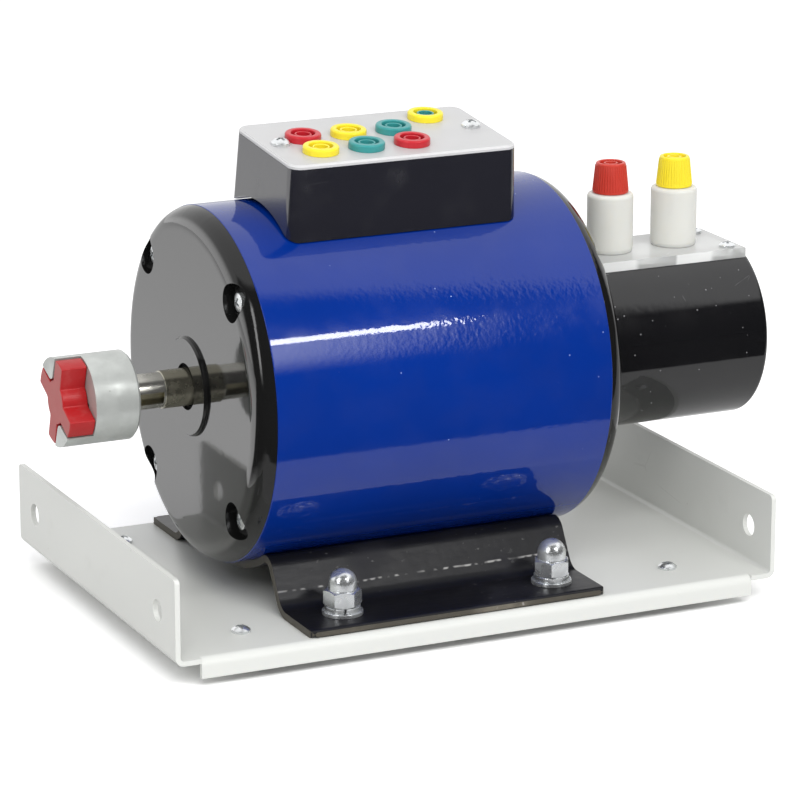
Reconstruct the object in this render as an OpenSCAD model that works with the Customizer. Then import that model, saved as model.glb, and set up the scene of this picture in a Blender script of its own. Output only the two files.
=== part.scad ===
// Laboratory synchronous motor with slip rings, on a folded base plate.
// Millimetres, +Z up, drive end towards -X. The origin lies on the standing
// surface, under the middle of the part.

/* [Base plate] */
// Length over the two end flanges
base_l = 257; // [245:1:290]
// Width over the two side lips
base_w = 170; // [168:1:200]
// Sheet thickness
sheet_t = 2; // [1.5:0.25:3]
// Inside radius of the sheet bends
bend_r = 1.5; // [1:0.25:3]
// Height of the end flanges above the plate
flange_h = 32; // [26:1:40]
// Corner radius of the end flanges
flange_corner_r = 2; // [1.5:0.5:8]
// Depth of the side lips below the top of the plate
lip_h = 8; // [7:0.5:14]
// Length left free between a flange and the end of a lip
lip_gap = 10.5; // [6:0.5:16]
// Diameter of the fixing holes in the end flanges
flange_hole_d = 9; // [8:0.5:12]
// Distance between the two holes of one flange
flange_hole_pitch = 134; // [110:1:150]
// Height of the flange holes above the plate
flange_hole_h = 15; // [10:0.5:18]
// Middle of the plate, measured from the middle of the motor frame
base_shift = 9; // [6:0.5:12]

/* [Stand pads] */
// Distance between the pads along the plate
pad_pitch_x = 185; // [170:1:195]
// Distance between the pads across the plate
pad_pitch_y = 124; // [110:1:130]
// Diameter of a rubber pad
pad_d = 22; // [16:1:26]
// How far the pads reach below the lips
pad_proud = 3.5; // [1.5:0.5:5]
// Diameter of the pad screws
pad_screw_d = 4; // [3:0.5:5]

/* [Saddle] */
// Length of the saddle along the motor
saddle_l = 126; // [115:1:138]
// Width of plate left free beside each foot flange
saddle_margin = 3; // [2:0.5:5]
// Sheet thickness of the saddle
saddle_t = 3; // [2:0.25:4]
// Inside radius where a foot sweeps up from its flange
saddle_bend_r = 7.5; // [6:0.5:8]
// Inside radius of the crest beside the shell
saddle_crest_r = 4; // [3:0.5:5]
// Where the foot starts to sweep up, as a share of the way from the crest to the foot bolts
sweep_share = 0.68; // [0.64:0.01:0.7]
// Where the crest meets the shell, in degrees from the lowest line
saddle_hug = 30; // [27:1:31]
// Distance between the foot bolts along the motor
foot_pitch_x = 90; // [80:1:100]
// Distance from the side of the plate to the foot bolts
foot_inset = 18.5; // [17:0.25:19]
// Middle of the foot bolts, measured from the middle of the motor frame
foot_bolt_shift = 2; // [-4:0.5:4]
// Diameter of the foot bolts
foot_bolt_d = 8; // [6:1:8]

/* [Motor frame] */
// Height of the shaft axis above the plate
axis_h = 81; // [80:0.5:84]
// Outside diameter of the frame shell
shell_d = 141; // [139:0.5:143]
// Wall of the frame shell
shell_t = 5; // [4:0.5:6]
// Length of the frame shell
shell_l = 142; // [138:1:160]

/* [End shields] */
// Depth of the shield rim outside the shell
shield_rim = 7.5; // [7.5:0.5:12]
// Radius of the rounded rim
shield_fillet = 9.5; // [6:0.5:10]
// Thickness of the shield face
shield_t = 6; // [5:0.5:8]
// Depth of the register inside the shell
spigot_l = 5; // [3:0.5:8]
// Wall of the register inside the shell
spigot_t = 5; // [4:0.5:8]
// Diameter of the raised boss round the shaft
boss_d = 39.5; // [34:0.5:46]
// Height of the raised boss
boss_h = 1.5; // [1:0.5:4]
// Outside diameter of the bearing housing
housing_d = 46; // [42:1:52]
// Diameter of the circle of the tie bolts
tie_circle_d = 122; // [120:0.5:123]
// Diameter of the tie bolts
tie_d = 4; // [3:0.5:5]
// Diameter of the pockets for the tie bolt heads
pocket_d = 15; // [12:0.5:16]
// Depth of those pockets
pocket_depth = 5; // [4:0.5:6]

/* [Shaft] */
// Diameter of the keyed shaft end
shaft_d = 14; // [13:0.5:14.5]
// Diameter of the bearing seats
seat_d = 15; // [15:0.5:16]
// Diameter of the shaft under the rotor
core_d = 18; // [17:0.5:20]
// Free shaft between the boss and the coupling
shaft_reach = 25; // [20:0.5:32]
// Length of the thicker shaft outside the boss
collar_l = 10.6; // [6:0.2:12]
// Width of the key
key_w = 5; // [4:0.5:5]
// Height of the key
key_h = 5; // [4:0.5:5]
// Diameter of the seal round the shaft
seal_d = 18.5; // [18:0.5:22]
// Thickness of the seal
seal_t = 3; // [2.5:0.5:4]

/* [Coupling] */
// Diameter of the coupling hub
hub_d = 35; // [32:0.5:40]
// Length of the hub without its jaws
hub_l = 18.5; // [15:0.5:25]
// Length of the jaws
jaw_l = 10.5; // [8:0.5:14]
// Distance from the axis to the rounded inner end of a jaw
jaw_tip_r = 9.2; // [9:0.1:10.4]
// Radius of the inner end of a jaw
jaw_round_r = 2.5; // [1.5:0.25:3]
// Angle of the upper jaw, in degrees from the -Y side
jaw_turn = 113; // [90:1:135]
// Angle of the key, in degrees from the -Y side
key_turn = -14; // [-30:1:30]
// Width of a spider arm
arm_w = 7.4; // [5:0.2:7.6]
// Angle between a jaw and the arm beside it
arm_spread = 40; // [39:0.5:45]
// Radius of the middle of the spider
spider_core_r = 8.5; // [7:0.25:8.75]
// How far the shaft end lies inside the hub face
shaft_sink = 2; // [0.5:0.5:4]

/* [Bearings] */
// Outside diameter of the bearings
bearing_d = 35; // [34:0.5:38]
// Width of the bearings
bearing_w = 11; // [10:0.5:12]
// Diameter of the balls
ball_d = 6; // [5:0.25:6.5]
// Number of balls in a bearing
ball_count = 8; // [7:1:8]

/* [Stator and rotor] */
// Length of the laminated cores
core_l = 70; // [60:1:80]
// Bore of the stator
stator_bore = 80.4; // [80.4:0.2:84]
// Number of stator slots
slot_count = 24; // [12:6:30]
// Diameter over the rotor poles
rotor_d = 79; // [76:0.5:79.4]
// Width of a pole body
pole_w = 20; // [16:0.5:20]
// Reach of the stator winding past its core
overhang = 16; // [12:1:18]

/* [Slip rings] */
// Diameter of the slip rings
slip_d = 34; // [32:0.5:36]
// Width of a slip ring
slip_w = 8; // [6:0.5:9]
// Distance between the two slip rings, middle to middle
slip_pitch = 14; // [13:0.5:18]
// Outside diameter of the insulating sleeve
sleeve_d = 24; // [20:0.5:27]
// Width of a carbon brush along the shaft
brush_w = 6; // [4:0.5:6]
// Width of a carbon brush across the shaft
brush_b = 8; // [6:0.5:9]

/* [Slip ring cover] */
// Outside diameter of the cover
cover_d = 74; // [73:0.5:76]
// Wall of the cover
cover_t = 4; // [3.5:0.25:4.5]
// Length of the cover
cover_l = 82; // [78:0.5:95]
// Height of the flat on the cover above the shaft axis
flat_h = 31.7; // [31:0.1:32]
// Radius of the rounded rear edge
cover_edge_r = 2; // [1:0.5:3]
// Diameter of the pillars inside the cover
pillar_d = 7; // [6:0.5:7]

/* [Terminal plate] */
// Thickness of the clear plate on the flat
plate_t = 4; // [3:0.5:6]
// Width of the clear plate
plate_w = 38; // [36:0.5:38.5]
// Distance between its screws across the shaft
plate_screw_y = 28; // [27:0.5:31]

/* [Binding posts] */
// First post, measured from the rear shield
post_inset = 27.8; // [23:0.2:31]
// Distance between the two posts
post_pitch = 29.3; // [24:0.1:32]
// Diameter of a post sleeve
sleeve_post_d = 18.8; // [17:0.2:20]
// Height of a post sleeve
sleeve_post_h = 24.3; // [22:0.1:28]
// Height of a cap above its sleeve
cap_h = 12.5; // [11:0.1:16]
// Diameter of a cap at its foot
cap_foot_d = 14.6; // [13:0.2:16]
// Diameter of a cap at its top
cap_top_d = 12.4; // [11.8:0.2:13]
// Diameter of the threaded stud
stud_d = 6; // [5.8:0.1:6.4]

/* [Terminal box] */
// Length of the box along the motor
box_l = 96; // [94:0.5:110]
// Width of the box
box_w = 56; // [52:0.5:60]
// Top of the panel above the shaft axis
box_top = 95.2; // [93:0.1:105]
// Wall of the box
box_t = 3; // [2:0.25:3.5]
// Radius of the upright edges
box_corner_r = 5; // [4:0.5:8]
// Flare of the walls towards the shell, in degrees
box_draft = 2; // [0.5:0.25:3]
// How far the box sits round the shell from the top, in degrees
box_lean = 5.6; // [0:0.1:8]
// Middle of the box, measured from the middle of the motor frame
box_shift = -2; // [-8:0.5:8]
// Gap between the shell and the arch of the box, at its middle
arch_gap = 2; // [0.5:0.25:3]
// Thickness of the panel
panel_t = 1.75; // [1.5:0.25:4]
// Bevel round the top of the panel
panel_bevel = 0.5; // [0.4:0.1:1]
// Distance from the ends of the panel to its screws
panel_screw_inset = 7.25; // [6.5:0.25:8]

/* [Sockets] */
// Distance from the panel screw at the drive end to the first column of sockets
socket_lead = 10.75; // [10.5:0.25:13]
// Distance from the earth socket to the other panel screw, along the panel
socket_trail = 12.85; // [12:0.05:14]
// Front row of sockets, measured from the middle line of the panel
front_row = -14; // [-14.4:0.2:-13]
// Rear row of sockets, measured from the middle line of the panel
rear_row = 3.2; // [2.8:0.2:3.8]
// Row of the earth socket, measured from the middle line of the panel
earth_row = 15; // [14:0.2:16]
// Diameter of a socket head
socket_d = 14.2; // [13:0.2:14.8]
// Height of a socket head above the panel
socket_h = 3; // [2:0.25:5]
// Bore of the plug contacts
plug_d = 4; // [3.6:0.1:4.2]

/* [Hidden] */
$fn = 96;
cut = 0.5;          // overshoot of cutting tools
seat_gap = 0.02;    // pieces pressed or screwed into each other
slide_gap = 0.1;    // pieces that slide or turn in each other
loose_gap = 0.4;    // clearance holes and parts beside each other
weld_gap = 0.05;    // seam between the saddle and the shell

// Stand pads: their taper, lower edge and the depth of the screw
pad_taper = 1.5;
pad_edge_r = 1;
pad_screw_depth = 6;

// Heights above the standing surface
plate_z = pad_proud + lip_h;
axis_z = plate_z + axis_h;
bend_out = bend_r + sheet_t;
lip_l = base_l - 2 * lip_gap;

// Motor frame, measured from its middle along the shaft
shell_r = shell_d / 2;
bore_r = shell_r - shell_t;
face_x = shell_l / 2 + shield_rim;
boss_x = -face_x - boss_h;
hub_back_x = boss_x - shaft_reach;
hub_face_x = hub_back_x - hub_l;
jaw_end_x = hub_face_x - jaw_l;
cover_end_x = face_x + cover_l;

// The origin is under the middle of the whole length
x_low = min(jaw_end_x, base_shift - base_l / 2);
x_high = max(cover_end_x, base_shift + base_l / 2);
motor_x = -(x_low + x_high) / 2;

// Bearings sit this deep behind the outer face of a shield
bearing_depth = 3.5;
wave_t = 1.5;
housing_l = bearing_depth + wave_t + bearing_w + cut;
front_bearing_x = -face_x + bearing_depth;
rear_bearing_x = face_x - bearing_depth - wave_t - bearing_w;
shaft_hole_d = seat_d + 1;
boss_edge = 0.8;
race_r = (seat_d + bearing_d) / 4;
race_w = 0.45 * ball_d;
cage_t = 1.6;
cage_w = 1.3 * ball_d;
wave_inset = 0.5;

// Stator slots
tooth_tip_t = 1.5;
yoke_gap = 3;
slot_in = stator_bore / 2 + tooth_tip_t;
slot_out = tie_circle_d / 2 - tie_d - yoke_gap;
slot_w = 0.5 * PI * stator_bore / slot_count;
mouth_w = 0.4 * slot_w;
end_turn_gap = 1;

// Rotor poles and their coils
pole_count = 4;
shoe_t = 6.5;
shoe_half = 0.72 * 180 / pole_count;
coil_in = core_d / 2 + 9;
coil_t = coil_in - pole_w / 2 - 1.2;
coil_gap = 0.3;
coil_end = 7;
coil_half_w = pole_w / 2 + coil_gap + coil_t;
coil_out = sqrt(pow(rotor_d / 2 - shoe_t - coil_gap, 2) - pow(coil_half_w, 2));
pole_ring_r = coil_in - 1.3;

// Shaft and coupling details
key_seat = 0.6 * key_h;
keyway_stop = 0.8;
seat_end = 2;
hub_edge = 1;
spider_fillet_r = 1;
set_screw_d = 5;
set_screw_key = 2.5;
set_screw_sink = 1;
set_screw_l = (hub_d - shaft_d) / 2 - set_screw_sink;

// Fasteners in proportion to their thread
function hex_s(d) = 1.6 * d + 0.2;
function head_d(d) = 1.8 * d + 0.3;
function head_h(d) = 0.6 * d + 0.2;
washer_t = 0.2 * foot_bolt_d;
washer_d = 2 * foot_bolt_d;
spring_washer_t = 0.25 * foot_bolt_d;
spring_washer_d = 1.75 * foot_bolt_d;
spring_split_w = 1.2;
spring_split_turn = 70;
foot_head_h = 0.65 * foot_bolt_d;
nut_s = hex_s(foot_bolt_d);
nut_hex_h = 0.8 * foot_bolt_d;
nut_neck_h = 0.3 * foot_bolt_d;
nut_dome_r = 0.7 * foot_bolt_d;
foot_hole_d = foot_bolt_d + 1;
tie_hole_d = tie_d + loose_gap;
tie_notch_d = tie_d + 2.4;

// Foot flanges and their bolts follow the width of the plate
saddle_w = base_w - 2 * saddle_margin;
foot_pitch_y = base_w - 2 * foot_inset;

// Saddle section: crest and bend centres, measured from the motor's middle line and the plate
hug_r = shell_r + weld_gap;
hug_steps = 40;
crest_c = [0, axis_h] + (hug_r + saddle_crest_r + saddle_t) * [sin(saddle_hug), -cos(saddle_hug)];
least_run = 1.04;
bend_reach = saddle_bend_r + saddle_crest_r + saddle_t;
bend_rise = saddle_t + saddle_bend_r - crest_c[1];
bend_run = max(sweep_share * (foot_pitch_y / 2 - crest_c[0]), least_run * bend_reach);
bend_c = [crest_c[0] + bend_run, saddle_t + saddle_bend_r];
saddle_slope = asin(bend_reach / norm([bend_run, bend_rise])) - atan2(bend_rise, bend_run);

// Slip ring chamber
chamber_r = cover_d / 2 - cover_t;
register_l = 4;
register_t = 3;
register_r = chamber_r - slide_gap;
sleeve_margin = 5;
sleeve_x = face_x + register_l + 1;
sleeve_l = slip_pitch + slip_w + 2 * sleeve_margin;
slip_x = [for (s = [-1, 1]) sleeve_x + sleeve_l / 2 + s * slip_pitch / 2];
shaft_end_x = sleeve_x + sleeve_l + 3;
pillar_angle = 40;
pillar_circle_r = register_r - register_t - pillar_d / 2 - loose_gap;
pillar_at = pillar_circle_r * [cos(pillar_angle), -sin(pillar_angle)];
ring_clear = 1.5;
holder_r = chamber_r - loose_gap;
holder_l = slip_pitch + slip_w + 4;
holder_floor = 2;
brush_spring_l = 3.5;
brush_top = slip_d / 2 + slide_gap;
spring_foot = holder_r - holder_floor;
brush_foot = spring_foot - brush_spring_l;
cover_screw_d = 4;
cover_screw_grip = 8;
csk_h = 2.4;
csk_d = 2 * cover_screw_d;
pillar_stud_l = shield_t - 1;

// Terminal plate and its posts
plate_x0 = face_x + loose_gap;
plate_x1 = cover_end_x - 1.5;
plate_screw_d = 3;
plate_screw_grip = 3;
plate_screw_edge = 6;
plate_screw_x = [plate_x0 + plate_screw_edge, plate_x1 - plate_screw_edge];
post_x = [face_x + post_inset, face_x + post_inset + post_pitch];
post_z = flat_h + plate_t;
cap_z = post_z + sleeve_post_h;
sleeve_floor = 3;
sleeve_edge_r = 1.6;
sleeve_foot_h = 3.2;
stud_flange_h = 2.5;
stud_flange_d = stud_d + 4.6;
stud_tail = 3;
skirt_d = stud_d + 5.2;
collar_d = skirt_d - 0.4;
collar_h = 2;
collar_z = post_z + sleeve_floor + stud_flange_h + slide_gap;
skirt_z = collar_z + collar_h + slide_gap;
cap_bore_d = stud_d + 2 * slide_gap;
cap_bore_top = cap_z + cap_h - 4.5;
cap_edge_r = 1;
cap_well = 3;
cap_well_d = cap_top_d - 3.2;
cap_tube_d = plug_d + 1.8;
plug_depth = 16;

// Terminal box, measured from the shaft axis
panel_z = box_top - panel_t;
saddle_cut_r = shell_r + loose_gap;
box_foot_z = sqrt(pow(saddle_cut_r, 2) - pow(box_w / 2, 2)) - 2;
slice = 0.1;
box_flare = (panel_z - box_foot_z) * tan(box_draft);
foot_half_w = box_w / 2 + box_flare;
arch_foot_z = sqrt(pow(saddle_cut_r, 2) - pow(foot_half_w, 2));
arch_rise = shell_r + arch_gap - arch_foot_z;
arch_r = (pow(foot_half_w, 2) + pow(arch_rise, 2)) / (2 * arch_rise);
arch_z = arch_foot_z + arch_rise - arch_r;
box_floor_z = arch_z + arch_r + box_t;
panel_screw_d = 4;
panel_screw_pitch = box_l - 2 * panel_screw_inset;
panel_boss_d = 7.5;
panel_screw_depth = 9;
lead_hole_d = 14;
box_screw_d = 4;
box_screw_x = 20;

// Sockets, measured from the middle and the top of the panel
socket_first = socket_lead - panel_screw_pitch / 2;
socket_pitch = (panel_screw_pitch - socket_lead - socket_trail) / 3;
socket_body_d = socket_d - 3.2;
socket_depth = 16;
socket_edge_r = 1;
socket_tube_t = 0.8;
socket_rim_t = 2.4;
well_floor = 3;
contact_d = plug_d + 1.2;
contact_top = 4;
contact_tail = 3;
socket_nut_s = socket_body_d + 2.5;
socket_nut_h = 3;
red_at = [[0, 1], [2, 0]];
yellow_at = [[0, 0], [1, 1]];
teal_at = [[1, 0], [2, 1]];
function socket_xy(at) = [socket_first + at[0] * socket_pitch, [front_row, rear_row][at[1]]];
earth_xy = [socket_first + 3 * socket_pitch, earth_row];
all_sockets = concat([for (at = concat(red_at, yellow_at, teal_at)) socket_xy(at)], [earth_xy]);

// Frames of the sub-assemblies
module on_base() translate([motor_x + base_shift, 0, plate_z]) children();
module on_motor() translate([motor_x, 0, axis_z]) children();
module on_box() on_motor() translate([box_shift, 0, 0]) rotate([box_lean, 0, 0]) children();
module along_x(x) translate([x, 0, 0]) rotate([0, 90, 0]) children();

// A section drawn in Y and Z, drawn out along X
module bar_x(l) rotate([90, 0, 90]) linear_extrude(l, center = true) children();

module ring(d_out, d_in, l) difference() {
    cylinder(d = d_out, h = l);
    translate([0, 0, -cut]) cylinder(d = d_in, h = l + 2 * cut);
}

module at_pads() for (x = [-1, 1], y = [-1, 1])
    translate([x * pad_pitch_x / 2, y * pad_pitch_y / 2, 0]) children();

module at_feet() translate([motor_x + foot_bolt_shift, 0, plate_z]) for (x = [-1, 1], y = [-1, 1])
    translate([x * foot_pitch_x / 2, y * foot_pitch_y / 2, 0]) children();

module at_ties() for (a = [45 : 90 : 315]) rotate(a) translate([tie_circle_d / 2, 0, 0]) children();

function arc(c, r, a0, a1, n = 16, skip = 0) =
    [for (i = [skip : n - skip]) c + r * [cos(a0 + (a1 - a0) * i / n), sin(a0 + (a1 - a0) * i / n)]];
function flip(points) = [for (i = [len(points) - 1 : -1 : 0]) [-points[i][0], points[i][1]]];

// Low domed screw head standing on z = 0
module dome_head(d, h) rotate_extrude() intersection() {
    square([d / 2, h]);
    translate([0, h - (d * d / 4 + h * h) / (2 * h)]) circle(r = (d * d / 4 + h * h) / (2 * h));
}

// Base plate

module flange_section() polygon(concat(
    [[-base_l / 2, flange_h]],
    arc([-base_l / 2 + bend_out, bend_r], bend_out, 180, 270, 8),
    arc([base_l / 2 - bend_out, bend_r], bend_out, 270, 360, 8),
    [[base_l / 2, flange_h], [base_l / 2 - sheet_t, flange_h]],
    arc([base_l / 2 - bend_out, bend_r], bend_r, 360, 270, 8),
    arc([-base_l / 2 + bend_out, bend_r], bend_r, 270, 180, 8),
    [[-base_l / 2 + sheet_t, flange_h]]
));

module flange_outline() polygon(concat(
    [[-base_w / 2, -sheet_t - cut], [base_w / 2, -sheet_t - cut]],
    arc([base_w / 2 - flange_corner_r, flange_h - flange_corner_r], flange_corner_r, 0, 90, 8),
    arc([flange_corner_r - base_w / 2, flange_h - flange_corner_r], flange_corner_r, 90, 180, 8)
));

module lip_section() {
    c = [base_w / 2 - bend_out, -bend_out];
    polygon(concat(
        [[c[0] - 1, -sheet_t], [c[0] - 1, 0]],
        arc(c, bend_out, 90, 0, 8),
        [[base_w / 2, -lip_h], [base_w / 2 - sheet_t, -lip_h]],
        arc(c, bend_r, 0, 90, 8)
    ));
}

module base_plate() color("gainsboro") difference() {
    on_base() {
        difference() {
            intersection() {
                rotate([90, 0, 0]) linear_extrude(base_w, center = true) flange_section();
                bar_x(base_l + 2 * cut) flange_outline();
            }
            for (side = [0, 1]) mirror([0, side, 0])
                translate([-lip_l / 2, base_w / 2 - bend_out, -sheet_t - cut])
                    cube([lip_l, bend_out + cut, sheet_t + 2 * cut]);
        }
        for (side = [0, 1]) mirror([0, side, 0]) bar_x(lip_l) lip_section();
    }
    on_base() for (y = [-1, 1]) translate([0, y * flange_hole_pitch / 2, flange_hole_h])
        along_x(-base_l / 2 - cut) cylinder(d = flange_hole_d, h = base_l + 2 * cut);
    on_base() at_pads() translate([0, 0, -sheet_t - cut])
        cylinder(d = pad_screw_d + loose_gap, h = sheet_t + 2 * cut);
    at_feet() translate([0, 0, -sheet_t - cut]) cylinder(d = foot_hole_d, h = sheet_t + 2 * cut);
}

module rubber_pads() color("dimgray") on_base() at_pads() translate([0, 0, -plate_z]) difference() {
    rotate_extrude() polygon(concat(
        [[0, 0]],
        arc([pad_d / 2 - pad_taper - pad_edge_r, pad_edge_r], pad_edge_r, 270, 360, 6),
        [[pad_d / 2, plate_z - sheet_t], [0, plate_z - sheet_t]]
    ));
    translate([0, 0, plate_z - sheet_t - pad_screw_depth])
        cylinder(d = pad_screw_d + 2 * seat_gap, h = pad_screw_depth + cut);
}

module pad_screws() color("silver") on_base() at_pads() {
    dome_head(head_d(pad_screw_d), head_h(pad_screw_d));
    translate([0, 0, cut - sheet_t - pad_screw_depth])
        cylinder(d = pad_screw_d, h = sheet_t + pad_screw_depth - cut);
}

// Saddle and its bolts

module saddle_section() {
    top = concat(
        [[saddle_w / 2, saddle_t]],
        arc(bend_c, saddle_bend_r, 270, 270 - saddle_slope),
        arc(crest_c, saddle_crest_r + saddle_t, 90 - saddle_slope, 90 + saddle_hug)
    );
    under = concat(
        [[saddle_w / 2, 0]],
        arc(bend_c, saddle_bend_r + saddle_t, 270, 270 - saddle_slope),
        arc(crest_c, saddle_crest_r, 90 - saddle_slope, 90 + saddle_hug)
    );
    polygon(concat(
        top,
        arc([0, axis_h], hug_r, 270 + saddle_hug, 270 - saddle_hug, hug_steps, 1),
        flip(top),
        [for (p = under) [-p[0], p[1]]],
        arc([0, axis_h], hug_r + saddle_t, 270 - saddle_hug, 270 + saddle_hug, hug_steps, 1),
        [for (i = [len(under) - 1 : -1 : 0]) under[i]]
    ));
}

module motor_saddle() color([0.1, 0.1, 0.1]) difference() {
    translate([motor_x, 0, plate_z]) bar_x(saddle_l) saddle_section();
    at_feet() translate([0, 0, -cut]) cylinder(d = foot_hole_d, h = saddle_t + 2 * cut);
}

module foot_bolts() color("silver") at_feet() {
    translate([0, 0, -sheet_t - foot_head_h]) cylinder(d = nut_s / cos(30), h = foot_head_h, $fn = 6);
    translate([0, 0, -sheet_t]) cylinder(d = foot_bolt_d,
        h = sheet_t + saddle_t + washer_t + spring_washer_t + nut_hex_h + nut_neck_h / 2);
}

module foot_washers() color("silver") at_feet() translate([0, 0, saddle_t])
    ring(washer_d, foot_bolt_d + loose_gap, washer_t);

module foot_spring_washers() color("silver") at_feet() translate([0, 0, saddle_t + washer_t])
    difference() {
        ring(spring_washer_d, foot_bolt_d + loose_gap, spring_washer_t);
        rotate(spring_split_turn) translate([0, -spring_split_w / 2, -cut])
            cube([spring_washer_d, spring_split_w, spring_washer_t + 2 * cut]);
    }

module foot_cap_nuts() color("silver") at_feet()
    translate([0, 0, saddle_t + washer_t + spring_washer_t]) difference() {
        union() {
            intersection() {
                cylinder(d = nut_s / cos(30), h = nut_hex_h, $fn = 6);
                cylinder(d1 = nut_s + 2 * nut_hex_h * tan(60), d2 = nut_s, h = nut_hex_h);
            }
            translate([0, 0, nut_hex_h - cut]) cylinder(r = nut_dome_r, h = nut_neck_h + cut);
            translate([0, 0, nut_hex_h + nut_neck_h]) intersection() {
                sphere(r = nut_dome_r);
                translate([0, 0, -cut]) cylinder(r = nut_dome_r + 1, h = nut_dome_r + 1);
            }
        }
        translate([0, 0, -cut]) cylinder(d = foot_bolt_d + slide_gap, h = nut_hex_h + nut_neck_h);
    }

// Frame shell and end shields

module frame_shell() color("mediumblue") difference() {
    on_motor() along_x(-shell_l / 2) ring(shell_d, 2 * bore_r, shell_l);
    on_box() translate([0, 0, shell_r / 2]) cylinder(d = lead_hole_d, h = shell_r);
    on_box() for (x = [-1, 1]) translate([x * box_screw_x, 0, shell_r / 2])
        cylinder(d = box_screw_d + 2 * seat_gap, h = shell_r);
}

module rim_section() difference() {
    union() {
        square([shell_r, shield_t]);
        translate([bore_r - spigot_t, 0]) square([shell_t + spigot_t, shield_rim]);
        translate([bore_r - spigot_t, 0]) square([spigot_t - seat_gap, shield_rim + spigot_l]);
    }
    translate([shell_r - shield_fillet, 0]) difference() {
        translate([0, -cut]) square([shield_fillet + cut, shield_fillet + cut]);
        translate([0, shield_fillet]) circle(r = shield_fillet);
    }
}

// Shield with its outer face at z = 0 and the motor above it
module shield_blank() difference() {
    union() {
        rotate_extrude() rim_section();
        cylinder(d = housing_d, h = housing_l);
    }
    translate([0, 0, bearing_depth]) cylinder(d = bearing_d + 2 * seat_gap, h = housing_l);
    at_ties() {
        translate([0, 0, -cut]) cylinder(d = pocket_d, h = pocket_depth + cut);
        cylinder(d = tie_hole_d, h = shield_rim + spigot_l + cut);
    }
}

module drive_end_shield() color([0.07, 0.07, 0.07]) on_motor() along_x(-face_x) difference() {
    union() {
        shield_blank();
        translate([0, 0, -boss_h]) cylinder(d1 = boss_d - 2 * boss_edge, d2 = boss_d, h = boss_edge);
        translate([0, 0, boss_edge - boss_h]) cylinder(d = boss_d, h = boss_h);
    }
    translate([0, 0, -boss_h - cut]) cylinder(d = seal_d + 2 * seat_gap, h = seal_t + cut);
    translate([0, 0, -boss_h]) cylinder(d = shaft_hole_d, h = housing_l);
}

module flat_tool(x0, x1) translate([x0, -cover_d, flat_h]) cube([x1 - x0, 2 * cover_d, cover_d]);

module rear_end_shield() color([0.07, 0.07, 0.07]) on_motor() difference() {
    union() {
        mirror([1, 0, 0]) along_x(-face_x) shield_blank();
        difference() {
            along_x(face_x - cut) cylinder(r = register_r, h = register_l + cut);
            along_x(face_x) cylinder(r = register_r - register_t, h = register_l + cut);
            flat_tool(face_x, face_x + register_l + cut);
        }
    }
    along_x(0) cylinder(d = shaft_hole_d, h = face_x + register_l);
    at_pillars() along_x(face_x - shield_t - cut)
        cylinder(d = cover_screw_d + 2 * seat_gap, h = shield_t + 2 * cut);
}

module tie_bolts() color("silver") on_motor() along_x(-face_x + pocket_depth) at_ties() {
    translate([0, 0, -head_h(tie_d)]) cylinder(d = head_d(tie_d), h = head_h(tie_d));
    cylinder(d = tie_d, h = 2 * (face_x - pocket_depth) + tie_d);
}

module tie_nuts() color("silver") on_motor() along_x(face_x - pocket_depth) at_ties() difference() {
    cylinder(d = hex_s(tie_d) / cos(30), h = 0.8 * tie_d, $fn = 6);
    translate([0, 0, -cut]) cylinder(d = tie_d + 2 * seat_gap, h = tie_d + 2 * cut);
}

module shaft_seal() color([0.05, 0.05, 0.05]) on_motor() along_x(boss_x + slide_gap)
    ring(seal_d, seat_d + 2 * slide_gap, seal_t - slide_gap);

// Bearings, each standing on z = 0

module bearing_groove() translate([race_r, bearing_w / 2]) circle(d = ball_d + 2 * slide_gap);

module outer_race() rotate_extrude() difference() {
    translate([race_r + race_w, 0]) square([bearing_d / 2 - race_r - race_w, bearing_w]);
    bearing_groove();
}

module inner_race() rotate_extrude() difference() {
    translate([seat_d / 2 + seat_gap, 0]) square([race_r - race_w - seat_d / 2 - seat_gap, bearing_w]);
    bearing_groove();
}

module at_balls() for (i = [0 : ball_count - 1]) rotate(i * 360 / ball_count)
    translate([race_r, 0, bearing_w / 2]) children();

module ball_cage() {
    at_balls() sphere(d = ball_d);
    difference() {
        translate([0, 0, (bearing_w - cage_w) / 2]) ring(2 * race_r + cage_t, 2 * race_r - cage_t, cage_w);
        at_balls() rotate([0, 90, 0]) cylinder(d = ball_d + 2 * slide_gap, h = ball_d, center = true);
    }
}

module front_bearing_outer() color("lightgray") on_motor() along_x(front_bearing_x) outer_race();
module rear_bearing_outer() color("lightgray") on_motor() along_x(rear_bearing_x) outer_race();
module front_bearing_inner() color("lightgray") on_motor() along_x(front_bearing_x) inner_race();
module rear_bearing_inner() color("lightgray") on_motor() along_x(rear_bearing_x) inner_race();
module front_ball_cage() color("goldenrod") on_motor() along_x(front_bearing_x) ball_cage();
module rear_ball_cage() color("goldenrod") on_motor() along_x(rear_bearing_x) ball_cage();

module wave_spring() color("silver") on_motor() along_x(rear_bearing_x + bearing_w)
    ring(bearing_d - 2 * wave_inset, 2 * (race_r + race_w + wave_inset), wave_t);

// Stator

module at_slots() for (i = [0 : slot_count - 1]) rotate((i + 0.5) * 360 / slot_count) children();

module stator_core() color("slategray") on_motor() along_x(-core_l / 2)
    linear_extrude(core_l) stator_section();

module stator_section() difference() {
    circle(r = bore_r - seat_gap);
    circle(d = stator_bore);
    at_slots() translate([slot_in, -slot_w / 2]) square([slot_out - slot_in, slot_w]);
    at_slots() translate([stator_bore / 2 - cut, -mouth_w / 2]) square([tooth_tip_t + 2 * cut, mouth_w]);
    at_ties() {
        circle(d = tie_notch_d);
        translate([0, -tie_notch_d / 2]) square([bore_r, tie_notch_d]);
    }
}

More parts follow.
